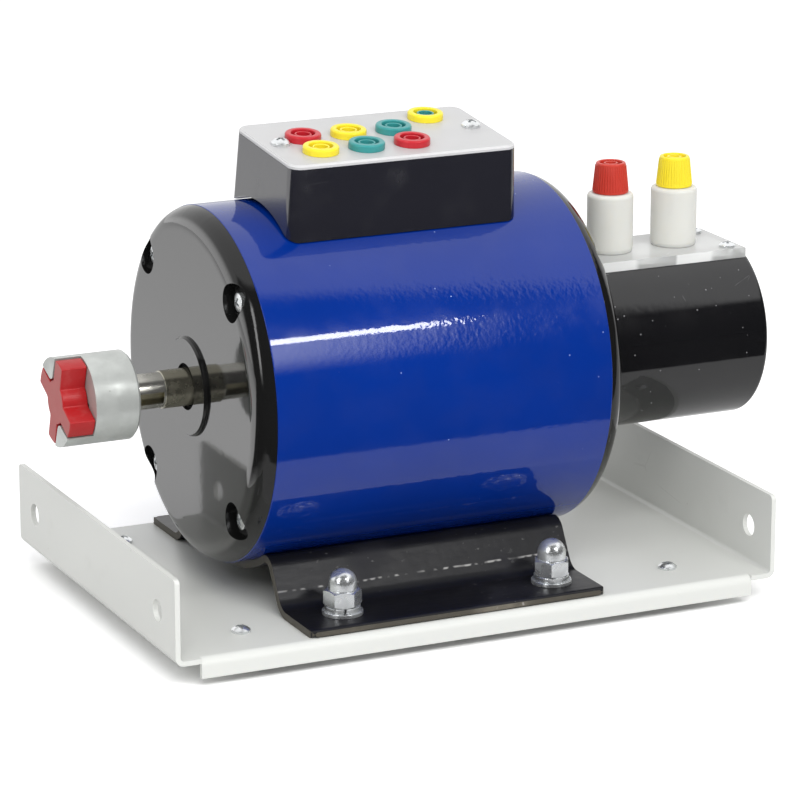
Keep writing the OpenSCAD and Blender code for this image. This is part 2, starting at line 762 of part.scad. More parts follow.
module stator_winding() color("peru") on_motor() {
    for (end = [0, 1]) mirror([end, 0, 0]) along_x(core_l / 2 + end_turn_gap) rotate_extrude()
        translate([slot_in + slide_gap, 0])
            square([slot_out - slot_in - 2 * slide_gap, overhang - end_turn_gap]);
    along_x(-core_l / 2 - 2 * end_turn_gap) linear_extrude(core_l + 4 * end_turn_gap) at_slots()
        translate([slot_in + slide_gap, slide_gap - slot_w / 2])
            square([slot_out - slot_in - 2 * slide_gap, slot_w - 2 * slide_gap]);
}

// Rotor

module rotor_poles() color("slategray") on_motor() along_x(-core_l / 2)
    linear_extrude(core_l) pole_section();

module pole_section() difference() {
    union() {
        circle(r = pole_ring_r);
        for (i = [0 : pole_count - 1]) rotate(i * 360 / pole_count) {
            translate([0, -pole_w / 2]) square([rotor_d / 2 - shoe_t / 2, pole_w]);
            intersection() {
                difference() {
                    circle(d = rotor_d);
                    circle(r = rotor_d / 2 - shoe_t);
                }
                polygon([[0, 0], rotor_d * [cos(shoe_half), -sin(shoe_half)],
                         rotor_d * [cos(shoe_half), sin(shoe_half)]]);
            }
        }
    }
    circle(d = core_d + 2 * seat_gap);
}

module field_winding() color("peru") on_motor()
    for (i = [0 : pole_count - 1]) rotate([i * 360 / pole_count, 0, 0])
        translate([0, 0, coil_in]) linear_extrude(coil_out - coil_in) difference() {
            square([core_l + 2 * coil_end, 2 * coil_half_w], center = true);
            square([core_l + 2 * coil_gap, pole_w + 2 * coil_gap], center = true);
        }

// Shaft, turned so that the key lies at its own angle

module on_shaft(turn) on_motor() rotate([-turn, 0, 0]) children();

module keyway(x0, x1) translate([x0, -shaft_d / 2 - cut, -key_w / 2 - seat_gap])
    cube([x1 - x0, key_seat + cut, key_w + 2 * seat_gap]);

module rotor_shaft() color([0.6, 0.57, 0.5]) on_shaft(key_turn) difference() {
    union() {
        along_x(hub_face_x + shaft_sink) cylinder(d = shaft_d, h = shaft_end_x - hub_face_x - shaft_sink);
        along_x(boss_x - collar_l) cylinder(d = seat_d, h = face_x - seat_end - boss_x + collar_l);
        along_x(front_bearing_x + bearing_w)
            cylinder(d = core_d, h = rear_bearing_x - front_bearing_x - bearing_w);
    }
    keyway(hub_face_x, boss_x - collar_l - keyway_stop);
}

module shaft_key() color("gray") on_shaft(key_turn)
    translate([hub_face_x + shaft_sink, key_seat - shaft_d / 2 - key_h, -key_w / 2])
        cube([hub_l - shaft_sink - hub_edge, key_h, key_w]);

// Coupling

module on_jaws() on_motor() rotate([-jaw_turn, 0, 0]) children();

// Wedge with a rounded inner end, pointing from the -X side of the sketch to the axis
module jaw_section() {
    tip = arc([-jaw_tip_r - jaw_round_r, 0], jaw_round_r, -45, 45);
    reach = 2 * hub_d;
    polygon(concat(tip, [tip[len(tip) - 1] + reach * [-1, 1], tip[0] - reach * [1, 1]]));
}

// Section of the space cut away between the jaws, with a jaw towards each side along X of the sketch
module jaw_gap_section() difference() {
    square(2 * hub_d, center = true);
    for (side = [0, 1]) mirror([side, 0]) jaw_section();
}

module coupling_hub() color([0.78, 0.78, 0.77]) difference() {
    union() {
        on_motor() along_x(jaw_end_x) cylinder(d = hub_d, h = jaw_l + hub_l - hub_edge);
        on_motor() along_x(hub_back_x - hub_edge)
            cylinder(d1 = hub_d, d2 = hub_d - 2 * hub_edge, h = hub_edge);
    }
    on_jaws() translate([hub_face_x - jaw_l, 0, 0]) bar_x(2 * jaw_l) jaw_gap_section();
    on_motor() along_x(hub_face_x - cut) cylinder(d = shaft_d + 2 * seat_gap, h = hub_l + 2 * cut);
    on_shaft(key_turn)
        translate([hub_face_x - cut, key_seat - shaft_d / 2 - key_h - seat_gap, -key_w / 2 - seat_gap])
            cube([hub_l + 2 * cut, key_h, key_w + 2 * seat_gap]);
    on_shaft(key_turn + 180) translate([hub_back_x - hub_l / 2, 0, 0]) rotate([90, 0, 0])
        cylinder(d = set_screw_d + 2 * seat_gap, h = hub_d);
}

module coupling_set_screw() color("dimgray") on_shaft(key_turn + 180)
    translate([hub_back_x - hub_l / 2, -shaft_d / 2 - seat_gap, 0]) rotate([90, 0, 0]) difference() {
        cylinder(d = set_screw_d, h = set_screw_l);
        translate([0, 0, set_screw_l - set_screw_key])
            cylinder(d = set_screw_key / cos(30), h = set_screw_key + cut, $fn = 6);
    }

// Rounded corner between the core and the upper flank of an arm that points along X
module spider_fillet() {
    rise = arm_w / 2 + spider_fillet_r;
    reach = sqrt(pow(spider_core_r + spider_fillet_r, 2) - pow(rise, 2));
    share = spider_core_r / (spider_core_r + spider_fillet_r);
    difference() {
        polygon([[0, 0], [reach, 0], [reach, arm_w / 2], share * [reach, rise]]);
        translate([reach, rise]) circle(r = spider_fillet_r);
    }
}

// Section of the spider, drawn with the jaws of its own hub on the X axis of the sketch
module spider_section() {
    circle(r = spider_core_r);
    for (flip_x = [0, 1], flip_y = [0, 1]) mirror([flip_x, 0]) mirror([0, flip_y]) rotate(arm_spread) {
        intersection() {
            translate([0, -arm_w / 2]) square([hub_d, arm_w]);
            circle(d = hub_d - 1);
        }
        spider_fillet();
    }
}

module coupling_spider() color([0.8, 0.12, 0.13]) on_jaws()
    translate([hub_face_x - jaw_l / 2 - slide_gap / 2, 0, 0]) bar_x(jaw_l - slide_gap) spider_section();

// Slip rings and brushes

module slip_ring_sleeve() color([0.35, 0.16, 0.08]) on_motor() along_x(sleeve_x)
    ring(sleeve_d, shaft_d + 2 * seat_gap, sleeve_l);

module slip_rings() color("darkgoldenrod") on_motor() for (x = slip_x)
    along_x(x - slip_w / 2) ring(slip_d, sleeve_d, slip_w);

module at_pillars() for (side = [-1, 1]) translate([0, side * pillar_at[0], pillar_at[1]]) children();

module cover_pillars() color("silver") on_motor() at_pillars() difference() {
    union() {
        along_x(face_x) cylinder(d = pillar_d, h = cover_l - cover_t);
        along_x(face_x - pillar_stud_l) cylinder(d = cover_screw_d, h = pillar_stud_l + cut);
    }
    along_x(cover_end_x - cover_t - cover_screw_grip - cut)
        cylinder(d = cover_screw_d + 2 * seat_gap, h = cover_screw_grip + 2 * cut);
}

module brush_holder() color([0.35, 0.16, 0.08]) on_motor()
    translate([(slip_x[0] + slip_x[1]) / 2, 0, 0]) difference() {
        bar_x(holder_l) difference() {
            intersection() {
                circle(r = holder_r);
                translate([-holder_r, -holder_r])
                    square([2 * holder_r, holder_r + pillar_at[1] + pillar_d]);
            }
            circle(d = slip_d + 2 * ring_clear);
        }
        at_pillars() along_x(-holder_l) cylinder(d = pillar_d + 2 * seat_gap, h = 2 * holder_l);
        for (s = [-1, 1]) translate([s * slip_pitch / 2 - brush_w / 2 - slide_gap,
                                     -brush_b / 2 - slide_gap, -spring_foot])
            cube([brush_w + 2 * slide_gap, brush_b + 2 * slide_gap, spring_foot]);
    }

module carbon_brushes() color([0.15, 0.15, 0.15]) on_motor() for (x = slip_x) difference() {
    translate([x - brush_w / 2, -brush_b / 2, -brush_foot]) cube([brush_w, brush_b, brush_foot]);
    along_x(x - slip_w) cylinder(r = brush_top, h = 2 * slip_w);
}

module brush_springs() color("silver") on_motor() for (x = slip_x)
    translate([x, 0, -spring_foot]) cylinder(d = min(brush_w, brush_b) - 1, h = spring_foot - brush_foot);

// Slip ring cover

module slip_ring_cover() color([0.06, 0.06, 0.06]) on_motor() difference() {
    along_x(face_x) rotate_extrude() difference() {
        square([cover_d / 2, cover_l]);
        translate([-cut, -cut]) square([chamber_r + cut, cover_l - cover_t + cut]);
        translate([cover_d / 2 - cover_edge_r, cover_l - cover_edge_r]) difference() {
            square(cover_edge_r + cut);
            circle(r = cover_edge_r);
        }
    }
    flat_tool(face_x - cut, cover_end_x + cut);
    at_pillars() {
        along_x(cover_end_x - cover_t - cut) cylinder(d = cover_screw_d + loose_gap, h = cover_t + 2 * cut);
        along_x(cover_end_x - csk_h)
            cylinder(d1 = cover_screw_d + 2 * slide_gap, d2 = csk_d + 2 * slide_gap, h = csk_h - slide_gap);
        along_x(cover_end_x - slide_gap) cylinder(d = csk_d + 2 * slide_gap, h = slide_gap + cut);
    }
    at_plate_screws() translate([0, 0, -cover_t])
        cylinder(d = plate_screw_d + 2 * seat_gap, h = 2 * cover_t);
}

module cover_screws() color("silver") on_motor() at_pillars() {
    along_x(cover_end_x - cover_t - cover_screw_grip)
        cylinder(d = cover_screw_d, h = cover_screw_grip + cover_t - csk_h + cut);
    along_x(cover_end_x - csk_h) cylinder(d1 = cover_screw_d, d2 = csk_d, h = csk_h - slide_gap);
}

// Clear terminal plate and its binding posts

module at_plate_screws() for (x = plate_screw_x, y = [-1, 1])
    translate([x, y * plate_screw_y / 2, flat_h]) children();

module at_posts() for (x = post_x) translate([x, 0, 0]) children();

module terminal_plate() color([0.85, 0.9, 0.92]) on_motor() difference() {
    translate([plate_x0, -plate_w / 2, flat_h]) cube([plate_x1 - plate_x0, plate_w, plate_t]);
    at_plate_screws() translate([0, 0, -cut])
        cylinder(d = plate_screw_d + loose_gap, h = plate_t + 2 * cut);
    at_posts() translate([0, 0, flat_h - cut]) cylinder(d = stud_d + loose_gap, h = plate_t + 2 * cut);
}

module terminal_plate_screws() color("silver") on_motor() at_plate_screws() {
    translate([0, 0, plate_t]) dome_head(2.2 * plate_screw_d, head_h(plate_screw_d));
    translate([0, 0, -plate_screw_grip]) cylinder(d = plate_screw_d, h = plate_t + plate_screw_grip);
}

module post_sleeves() color([0.93, 0.93, 0.89]) on_motor() at_posts()
translate([0, 0, post_z]) difference() {
    rotate_extrude() polygon(concat(
        [[0, 0], [sleeve_post_d / 2 - sleeve_edge_r, 0], [sleeve_post_d / 2, sleeve_foot_h]],
        arc([sleeve_post_d / 2 - sleeve_edge_r, sleeve_post_h - sleeve_edge_r], sleeve_edge_r, 0, 90, 8),
        [[0, sleeve_post_h]]
    ));
    translate([0, 0, sleeve_floor]) cylinder(d = skirt_d + 2 * loose_gap, h = sleeve_post_h);
    translate([0, 0, -cut]) cylinder(d = stud_d + 2 * slide_gap, h = sleeve_floor + 2 * cut);
}

module post_studs() color("darkgoldenrod") on_motor() at_posts() difference() {
    union() {
        translate([0, 0, flat_h - stud_d - stud_tail])
            cylinder(d = stud_d, h = cap_bore_top - 1 - flat_h + stud_d + stud_tail);
        translate([0, 0, post_z + sleeve_floor]) cylinder(d = stud_flange_d, h = stud_flange_h);
    }
    translate([0, 0, cap_bore_top - plug_depth]) cylinder(d = plug_d, h = plug_depth);
}

module post_nuts() color("darkgoldenrod") on_motor() at_posts() translate([0, 0, flat_h - 0.8 * stud_d])
    difference() {
        cylinder(d = hex_s(stud_d) / cos(30), h = 0.8 * stud_d, $fn = 6);
        translate([0, 0, -cut]) cylinder(d = stud_d + 2 * seat_gap, h = stud_d + 2 * cut);
    }

module post_collar(i) on_motor() translate([post_x[i], 0, collar_z])
    ring(collar_d, stud_d + 2 * slide_gap, collar_h);

// Cap with a plug socket in its top, a threaded bore and a skirt that reaches into the sleeve
module post_cap(i) on_motor() translate([post_x[i], 0, 0]) difference() {
    union() {
        translate([0, 0, cap_z + slide_gap]) rotate_extrude() polygon(concat(
            [[0, 0], [cap_foot_d / 2, 0]],
            arc([cap_top_d / 2 - cap_edge_r, cap_h - cap_edge_r], cap_edge_r, 5, 90, 6),
            [[0, cap_h]]
        ));
        translate([0, 0, skirt_z]) cylinder(d = skirt_d, h = cap_z - skirt_z + 1);
    }
    translate([0, 0, skirt_z - cut]) cylinder(d = cap_bore_d, h = cap_bore_top - skirt_z + cut);
    translate([0, 0, cap_bore_top - cut]) cylinder(d = plug_d + 2 * slide_gap, h = cap_h);
    translate([0, 0, cap_z + cap_h - cap_well]) ring(cap_well_d, cap_tube_d, cap_well + cut);
}

module red_post_collar() color("darkgoldenrod") post_collar(0);
module yellow_post_collar() color("darkgoldenrod") post_collar(1);
module red_post_cap() color([0.83, 0.15, 0.12]) post_cap(0);
module yellow_post_cap() color([0.98, 0.87, 0.1]) post_cap(1);

// Terminal box

module box_plan(l, w, r) {
    square([l - 2 * r, w], center = true);
    square([l, w - 2 * r], center = true);
    for (x = [-1, 1], y = [-1, 1]) translate([x * (l / 2 - r), y * (w / 2 - r)]) circle(r = r);
}

// Flared block whose upright edges are rounded, wider at the bottom
module flared_block(wall, z0, z1) hull() for (x = [-1, 1], y = [-1, 1], top = [0, 1]) {
    inset = box_corner_r - (1 - top) * box_flare;
    translate([x * (box_l / 2 - inset), y * (box_w / 2 - inset), top == 1 ? z1 - slice : z0])
        cylinder(r = box_corner_r - wall, h = slice, $fn = 32);
}

// Round bar under the box that gives its floor the shape of an arch
module box_arch(r) translate([0, 0, arch_z]) along_x(-box_l) cylinder(r = r, h = 2 * box_l);

module terminal_box() color([0.08, 0.08, 0.08]) on_box() difference() {
    flared_block(0, box_foot_z, panel_z);
    difference() {
        flared_block(box_t, box_foot_z - cut, panel_z + cut);
        box_arch(arch_r + box_t);
        for (x = [-1, 1]) translate([x * panel_screw_pitch / 2, 0, 0])
            cylinder(d = panel_boss_d, h = panel_z);
    }
    box_arch(arch_r);
    for (x = [-1, 1]) translate([x * panel_screw_pitch / 2, 0, panel_z - panel_screw_depth - cut])
        cylinder(d = panel_screw_d + 2 * seat_gap, h = panel_screw_depth + 2 * cut);
    cylinder(d = lead_hole_d, h = panel_z);
    for (x = [-1, 1]) translate([x * box_screw_x, 0, 0])
        cylinder(d = box_screw_d + loose_gap, h = panel_z);
}

module box_screws() color("silver") on_box() for (x = [-1, 1]) translate([x * box_screw_x, 0, 0]) {
    translate([0, 0, box_floor_z]) dome_head(head_d(box_screw_d), head_h(box_screw_d));
    translate([0, 0, bore_r]) cylinder(d = box_screw_d, h = box_floor_z - bore_r);
}

module terminal_panel() color([0.82, 0.82, 0.83]) on_box() translate([0, 0, panel_z]) difference() {
    union() {
        linear_extrude(panel_t - panel_bevel) box_plan(box_l, box_w, box_corner_r);
        translate([0, 0, panel_t - panel_bevel]) linear_extrude(panel_bevel)
            box_plan(box_l - 2 * panel_bevel, box_w - 2 * panel_bevel, box_corner_r - panel_bevel);
    }
    for (at = all_sockets) translate([at[0], at[1], -cut])
        cylinder(d = socket_body_d + 2 * slide_gap, h = panel_t + 2 * cut);
    for (x = [-1, 1]) translate([x * panel_screw_pitch / 2, 0, -cut])
        cylinder(d = panel_screw_d + loose_gap, h = panel_t + 2 * cut);
}

module panel_screws() color("silver") on_box() for (x = [-1, 1])
    translate([x * panel_screw_pitch / 2, 0, box_top]) {
        dome_head(head_d(panel_screw_d), head_h(panel_screw_d));
        translate([0, 0, -panel_t - panel_screw_depth])
            cylinder(d = panel_screw_d, h = panel_t + panel_screw_depth);
    }

// Sockets, each standing on the panel at z = 0

module socket() rotate_extrude() difference() {
    polygon(concat(
        [[0, -socket_depth], [socket_body_d / 2, -socket_depth]],
        [[socket_body_d / 2, 0], [socket_d / 2, 0]],
        arc([socket_d / 2 - socket_edge_r, socket_h - socket_edge_r], socket_edge_r, 0, 90, 6),
        [[0, socket_h]]
    ));
    translate([-cut, -socket_depth - cut])
        square([contact_d / 2 + seat_gap + cut, socket_depth + socket_h + 2 * cut]);
    translate([contact_d / 2 + socket_tube_t, well_floor - socket_depth])
        square([socket_d / 2 - socket_rim_t - contact_d / 2 - socket_tube_t, socket_depth + socket_h]);
}

module at_sockets(list) on_box() for (at = list) translate([at[0], at[1], box_top]) children();

module red_sockets() color([0.78, 0.12, 0.2]) at_sockets([for (at = red_at) socket_xy(at)]) socket();
module yellow_sockets() color([0.98, 0.85, 0.1]) at_sockets([for (at = yellow_at) socket_xy(at)]) socket();
module teal_sockets() color([0.2, 0.58, 0.58]) at_sockets([for (at = teal_at) socket_xy(at)]) socket();
module earth_socket() color([0.98, 0.85, 0.1]) at_sockets([earth_xy]) socket();

module socket_contacts() color("gold") at_sockets(all_sockets)
    translate([0, 0, -socket_depth - contact_tail]) difference() {
        cylinder(d = contact_d, h = socket_depth + contact_tail - contact_top);
        translate([0, 0, contact_tail]) cylinder(d = plug_d, h = socket_depth);
    }

module socket_nuts() color("silver") at_sockets(all_sockets) translate([0, 0, -panel_t - socket_nut_h])
    difference() {
        cylinder(d = socket_nut_s / cos(30), h = socket_nut_h, $fn = 6);
        translate([0, 0, -cut]) cylinder(d = socket_body_d + 2 * seat_gap, h = socket_nut_h + 2 * cut);
    }

base_plate();
rubber_pads();
pad_screws();
motor_saddle();
foot_bolts();
foot_washers();
foot_spring_washers();
foot_cap_nuts();
frame_shell();
drive_end_shield();
rear_end_shield();
tie_bolts();
tie_nuts();
shaft_seal();
front_bearing_outer();
rear_bearing_outer();
wave_spring();
stator_core();
stator_winding();
rotor_shaft();
rotor_poles();
field_winding();
slip_ring_sleeve();
slip_rings();
front_bearing_inner();
rear_bearing_inner();
front_ball_cage();
rear_ball_cage();
shaft_key();
coupling_hub();
coupling_set_screw();
coupling_spider();
slip_ring_cover();
cover_pillars();
cover_screws();
brush_holder();
carbon_brushes();
brush_springs();
terminal_plate();
terminal_plate_screws();
post_sleeves();
post_studs();
post_nuts();
red_post_collar();
red_post_cap();
yellow_post_collar();
yellow_post_cap();
terminal_box();
box_screws();
terminal_panel();
panel_screws();
red_sockets();
yellow_sockets();
teal_sockets();
earth_socket();
socket_contacts();
socket_nuts();
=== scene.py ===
"""Laboratory synchronous motor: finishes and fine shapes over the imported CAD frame."""

import logging
import math
from dataclasses import dataclass, field
from enum import Enum
from functools import partialmethod
from typing import Any, Sequence, Union

import bmesh
import bpy
from mathutils import Matrix, Vector


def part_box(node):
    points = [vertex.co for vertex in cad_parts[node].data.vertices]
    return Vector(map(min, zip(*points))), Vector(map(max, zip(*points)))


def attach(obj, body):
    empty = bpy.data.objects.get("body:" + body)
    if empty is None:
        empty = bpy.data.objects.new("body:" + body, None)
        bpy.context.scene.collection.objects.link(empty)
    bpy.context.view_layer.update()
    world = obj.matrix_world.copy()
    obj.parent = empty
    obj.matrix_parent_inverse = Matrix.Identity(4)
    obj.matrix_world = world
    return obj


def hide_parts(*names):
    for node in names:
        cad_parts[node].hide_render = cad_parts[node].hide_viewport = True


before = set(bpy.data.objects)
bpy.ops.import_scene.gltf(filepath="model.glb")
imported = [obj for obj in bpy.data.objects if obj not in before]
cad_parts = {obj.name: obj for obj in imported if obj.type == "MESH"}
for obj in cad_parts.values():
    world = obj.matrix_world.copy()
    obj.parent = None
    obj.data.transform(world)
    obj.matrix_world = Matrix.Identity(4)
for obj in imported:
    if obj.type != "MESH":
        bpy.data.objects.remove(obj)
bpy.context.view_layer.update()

LOG = logging.getLogger("motor")
MM = 0.001

Point = tuple[float, float]
Colour = tuple[float, float, float]
Corner = tuple[float, float, float]
Spot = tuple[float, float, float]


# Node trees


class Wire:
    """One output of a node tree; arithmetic on it adds Math nodes, and | joins two masks."""

    def __init__(self, sheet: "NodeSheet", socket: bpy.types.NodeSocket) -> None:
        """Keep the sheet and the socket."""
        self.sheet = sheet
        self.socket = socket

    def _math(self, operation: str, other: "Value") -> "Wire":
        """Return the result of one Math node on this value and another."""
        return self.sheet.node("ShaderNodeMath", {"operation": operation}, {0: self, 1: other})

    def _swapped(self, operation: str, other: "Value") -> "Wire":
        """Return the result of one Math node on another value and this one."""
        return self.sheet.node("ShaderNodeMath", {"operation": operation}, {0: other, 1: self})

    __add__ = partialmethod(_math, "ADD")
    __radd__ = partialmethod(_swapped, "ADD")
    __sub__ = partialmethod(_math, "SUBTRACT")
    __rsub__ = partialmethod(_swapped, "SUBTRACT")
    __mul__ = partialmethod(_math, "MULTIPLY")
    __rmul__ = partialmethod(_swapped, "MULTIPLY")
    __or__ = partialmethod(_math, "MAXIMUM")
    __ror__ = partialmethod(_swapped, "MAXIMUM")

    def step(self, low: float, high: float) -> "Wire":
        """Return a soft step of this value.

        Args:
            low: value at which the step is 0.
            high: value at which the step is 1; below low for a falling step.

        Returns:
            A mask from 0 to 1.
        """
        return self.sheet.node("ShaderNodeMapRange", {"interpolation_type": "SMOOTHSTEP"},
                               {"Value": self, "From Min": low, "From Max": high})

    def band(self, rise: Point, fall: Point) -> "Wire":
        """Return a mask that rises over one range of this value and falls over another."""
        return self.step(*rise) * self.step(*fall)


Value = Union[Wire, float]
Tint = Union[Wire, Colour]


class NodeSheet:
    """A shader tree that is written as expressions."""

    def __init__(self, tree: bpy.types.NodeTree) -> None:
        """Empty the tree and keep it."""
        self.tree = tree
        tree.nodes.clear()

    def node(self, kind: str, settings: dict[str, Any], inputs: dict[Any, Any], output: Any = 0) -> Wire:
        """Add one node.

        Args:
            kind: Blender's name of the node type.
            settings: properties that are set first.
            inputs: a value or a Wire for each named or numbered input.
            output: name or number of the output to return.

        Returns:
            The chosen output.
        """
        made = self.tree.nodes.new(kind)
        for key, value in settings.items():
            setattr(made, key, value)
        for key, value in inputs.items():
            socket = made.inputs[key]
            if isinstance(value, Wire):
                self.tree.links.new(value.socket, socket)
            elif socket.type == "RGBA" and len(value) == 3:
                socket.default_value = (*value, 1.0)
            else:
                socket.default_value = value
        return Wire(self, made.outputs[output] if made.outputs else None)

    def mix(self, first: Tint, second: Tint, share: Value) -> Wire:
        """Return a blend of two colours, share of it the second."""
        return self.node("ShaderNodeMix", {"data_type": "RGBA"}, {0: share, 6: first, 7: second}, 2)

    def parts(self, vector: Wire, which: str) -> Wire:
        """Return the X, Y or Z part of a vector."""
        return self.node("ShaderNodeSeparateXYZ", {}, {0: vector}, which)

    def rays(self) -> tuple[Wire, Wire]:
        """Tell the kinds of light ray apart.

        Returns:
            Masks of the rays that come to the eye, also through clear plastic, and of mirrored rays.
        """
        straight, through, glossy = (self.node("ShaderNodeLightPath", {}, {}, f"Is {kind} Ray")
                                     for kind in ("Camera", "Transmission", "Glossy"))
        return straight | through, glossy


class FinishSheet(NodeSheet):
    """The shader tree of one finish, with the textures that the finishes share."""

    def __init__(self, name: str) -> None:
        """Make the material and its empty tree.

        Args:
            name: name of the material.
        """
        self.material = bpy.data.materials.new(name)
        self.material.use_nodes = True
        super().__init__(self.material.node_tree)
        self.place = self.node("ShaderNodeTexCoord", {}, {}, "Object")

    def stretched(self, factors: Spot, turn: Spot = (0.0, 0.0, 0.0)) -> Wire:
        """Return the place on the piece, turned and then stretched along each axis."""
        turned = self.node("ShaderNodeMapping", {}, {"Vector": self.place, "Rotation": turn})
        return self.node("ShaderNodeMapping", {}, {"Vector": turned, "Scale": factors})

    def on(self, axis: str) -> Wire:
        """Return the place on the piece along one axis."""
        return self.parts(self.place, axis)

    def facing(self, axis: str) -> Wire:
        """Return how far the surface looks along one axis."""
        return self.parts(self.node("ShaderNodeNewGeometry", {}, {}, "Normal"), axis)

    def noise(self, scale: float, detail: float = 2.0, place: Wire | None = None) -> Wire:
        """Return soft noise from 0 to 1 with scale bumps per metre."""
        return self.node("ShaderNodeTexNoise", {},
                         {"Vector": place or self.place, "Scale": scale, "Detail": detail})

    def specks(self, per_metre: float, size: float, share: float) -> Wire:
        """Return a mask of small scattered specks.

        Args:
            per_metre: cells per metre, each with one possible speck.
            size: radius of the largest speck, as a share of its cell.
            share: share of the cells that have a speck.

        Returns:
            A mask from 0 to 1.
        """
        at = {"Vector": self.place, "Scale": per_metre}
        near = self.node("ShaderNodeTexVoronoi", {}, at, "Distance")
        chance = self.node("ShaderNodeSeparateColor", {},
                           {0: self.node("ShaderNodeTexVoronoi", {}, at, "Color")}, "Red")
        return near.step(size, 0.6 * size) * chance.step(share, 0.9 * share)

    def scratches(self, per_metre: float, width: float, share: float, turn: Spot) -> Wire:
        """Return a mask of broken hairline scratches.

        Args:
            per_metre: lines per metre.
            width: width of a line, as a share of the distance between lines.
            share: level of noise below which a line is left out.
            turn: rotation of the pattern.

        Returns:
            A mask from 0 to 1.
        """
        place = self.stretched((1.0, 0.35, 1.0), turn)
        line = self.node("ShaderNodeTexVoronoi", {"feature": "DISTANCE_TO_EDGE"},
                         {"Vector": place, "Scale": per_metre}, "Distance")
        return line.step(width, 0.4 * width) * self.noise(per_metre * 1.7).step(share, share + 0.06)

    def bump(self, height: Value, depth: float) -> Wire:
        """Return a normal bent by height, of which 1 is depth metres."""
        return self.node("ShaderNodeBump", {}, {"Strength": 1.0, "Distance": depth, "Height": height})

    def principled(self, inputs: dict[str, Any]) -> Wire:
        """Return a Principled shader with these inputs."""
        return self.node("ShaderNodeBsdfPrincipled", {}, inputs)

    def close(self, shader: Wire) -> None:
        """Lead a shader to the output."""
        self.node("ShaderNodeOutputMaterial", {}, {"Surface": shader})


# Finishes


@dataclass(frozen=True)
class Finish:
    """A named surface: its colour, its roughness, the record's slot for it, and how it is dressed."""

    name: str
    colour: Colour
    roughness: float
    slot: str = ""

    def material(self) -> bpy.types.Material:
        """Make the finish the first time it is asked for.

        Returns:
            Its material.
        """
        made = bpy.data.materials.get(self.name)
        if made is None:
            sheet = FinishSheet(self.name)
            self.dress(sheet)
            made = sheet.material
        return made

    def dress(self, sheet: FinishSheet) -> None:
        """Fill the sheet with this finish's nodes."""
        raise NotImplementedError

    def shade(self, factor: float) -> Colour:
        """Return the finish's colour made lighter or darker by a factor."""
        return tuple(min(1.0, c * factor) for c in self.colour)


@dataclass(frozen=True)
class Enamel(Finish):
    """Gloss paint with an orange-peel skin, dust specks and hairline scratches."""

    mark: Colour = (0.5, 0.5, 0.5)
    ior: float = 1.5
    peel: float = 0.00003
    peel_scale: float = 480.0
    dust: float = 0.3
    grit: float = 0.0
    haze: float = 0.3
    film_ior: float = 1.8
    film_roughness: float = 0.26

    def film(self, sheet: FinishSheet) -> Wire:
        """Return the share of the dull film that lies on the gloss."""
        return self.haze * (0.25 + 0.75 * sheet.noise(75.0, 5.0).step(0.4, 0.72))

    def skin(self, sheet: FinishSheet) -> Wire:
        """Return the height of the orange peel."""
        return sheet.noise(self.peel_scale, 1.0) + 0.5 * sheet.noise(0.35 * self.peel_scale, 1.0)

    def dress(self, sheet: FinishSheet) -> None:
        """Fill the sheet with paint, its skin and its marks.

        Args:
            sheet: the finish's empty tree.
        """
        drift = sheet.noise(16.0, 3.0)
        skin = self.skin(sheet)
        dust = sheet.specks(150.0, 0.05, self.dust) | sheet.specks(60.0, 0.03, 0.5 * self.dust)
        if self.grit:
            dust = dust | 0.7 * sheet.specks(330.0, 0.13, self.grit)
        lines = sheet.scratches(34.0, 0.004, 0.66, (0.3, 0.5, 0.9))
        paint = sheet.mix(self.shade(0.85), self.shade(1.15), drift)
        marks = 0.75 * dust | 0.16 * lines
        shared = {"Base Color": sheet.mix(paint, self.mark, marks), "IOR": self.ior,
                  "Normal": sheet.bump(skin + 0.6 * dust, self.peel)}
        gloss = sheet.principled({**shared, "Roughness": self.roughness + 0.3 * marks})
        dull = sheet.principled({**shared, "IOR": self.film_ior, "Roughness": self.film_roughness})
        sheet.close(sheet.node("ShaderNodeMixShader", {}, {0: self.film(sheet), 1: gloss, 2: dull}))


@dataclass(frozen=True)
class ShellEnamel(Enamel):
    """Gloss paint of the shell, sprayed wet at the drive end and drier towards the tail."""

    wet_x: float = -0.075
    dry_x: float = 0.015

    def skin(self, sheet: FinishSheet) -> Wire:
        """Return the height of the orange peel, which grows towards the tail."""
        return super().skin(sheet) * (0.35 + 0.75 * sheet.on("X").step(self.wet_x, self.dry_x))


@dataclass(frozen=True)
class ShieldEnamel(Enamel):
    """Gloss paint of an end shield: smooth on the turned face, thin and duller on the cast rim."""

    film_ior: float = 1.42
    film_roughness: float = 0.09

    def film(self, sheet: FinishSheet) -> Wire:
        """Return the share of thin paint: all of the rim, and none of the face."""
        along = sheet.facing("X")
        return (along * along).step(0.85, 0.6)


@dataclass(frozen=True)
class PowderCoat(Finish):
    """Baked powder paint on sheet metal: a fine pebbled skin and a few dirty patches."""

    dirt: Colour = (0.4, 0.39, 0.36)

    def dress(self, sheet: FinishSheet) -> None:
        """Fill the sheet with the pebbled skin and the dirt.

        Args:
            sheet: the finish's empty tree.
        """
        pebble = sheet.noise(1500.0, 2.0)
        drift = sheet.noise(9.0, 3.0)
        grime = sheet.noise(55.0, 5.0).step(0.62, 0.85)
        spots = sheet.specks(90.0, 0.045, 0.14)
        lines = sheet.scratches(16.0, 0.004, 0.64, (0.2, 0.1, 0.7))
        paint = sheet.mix(self.shade(0.965), self.shade(1.03), drift)
        overlay_share = 0.14 * grime | 0.45 * spots | 0.18 * lines
        sheet.close(sheet.principled({
            "Base Color": sheet.mix(paint, self.dirt, overlay_share),
            "Roughness": self.roughness + 0.12 * grime + 0.05 * pebble,
            "Normal": sheet.bump(pebble, 0.000012),
        }))


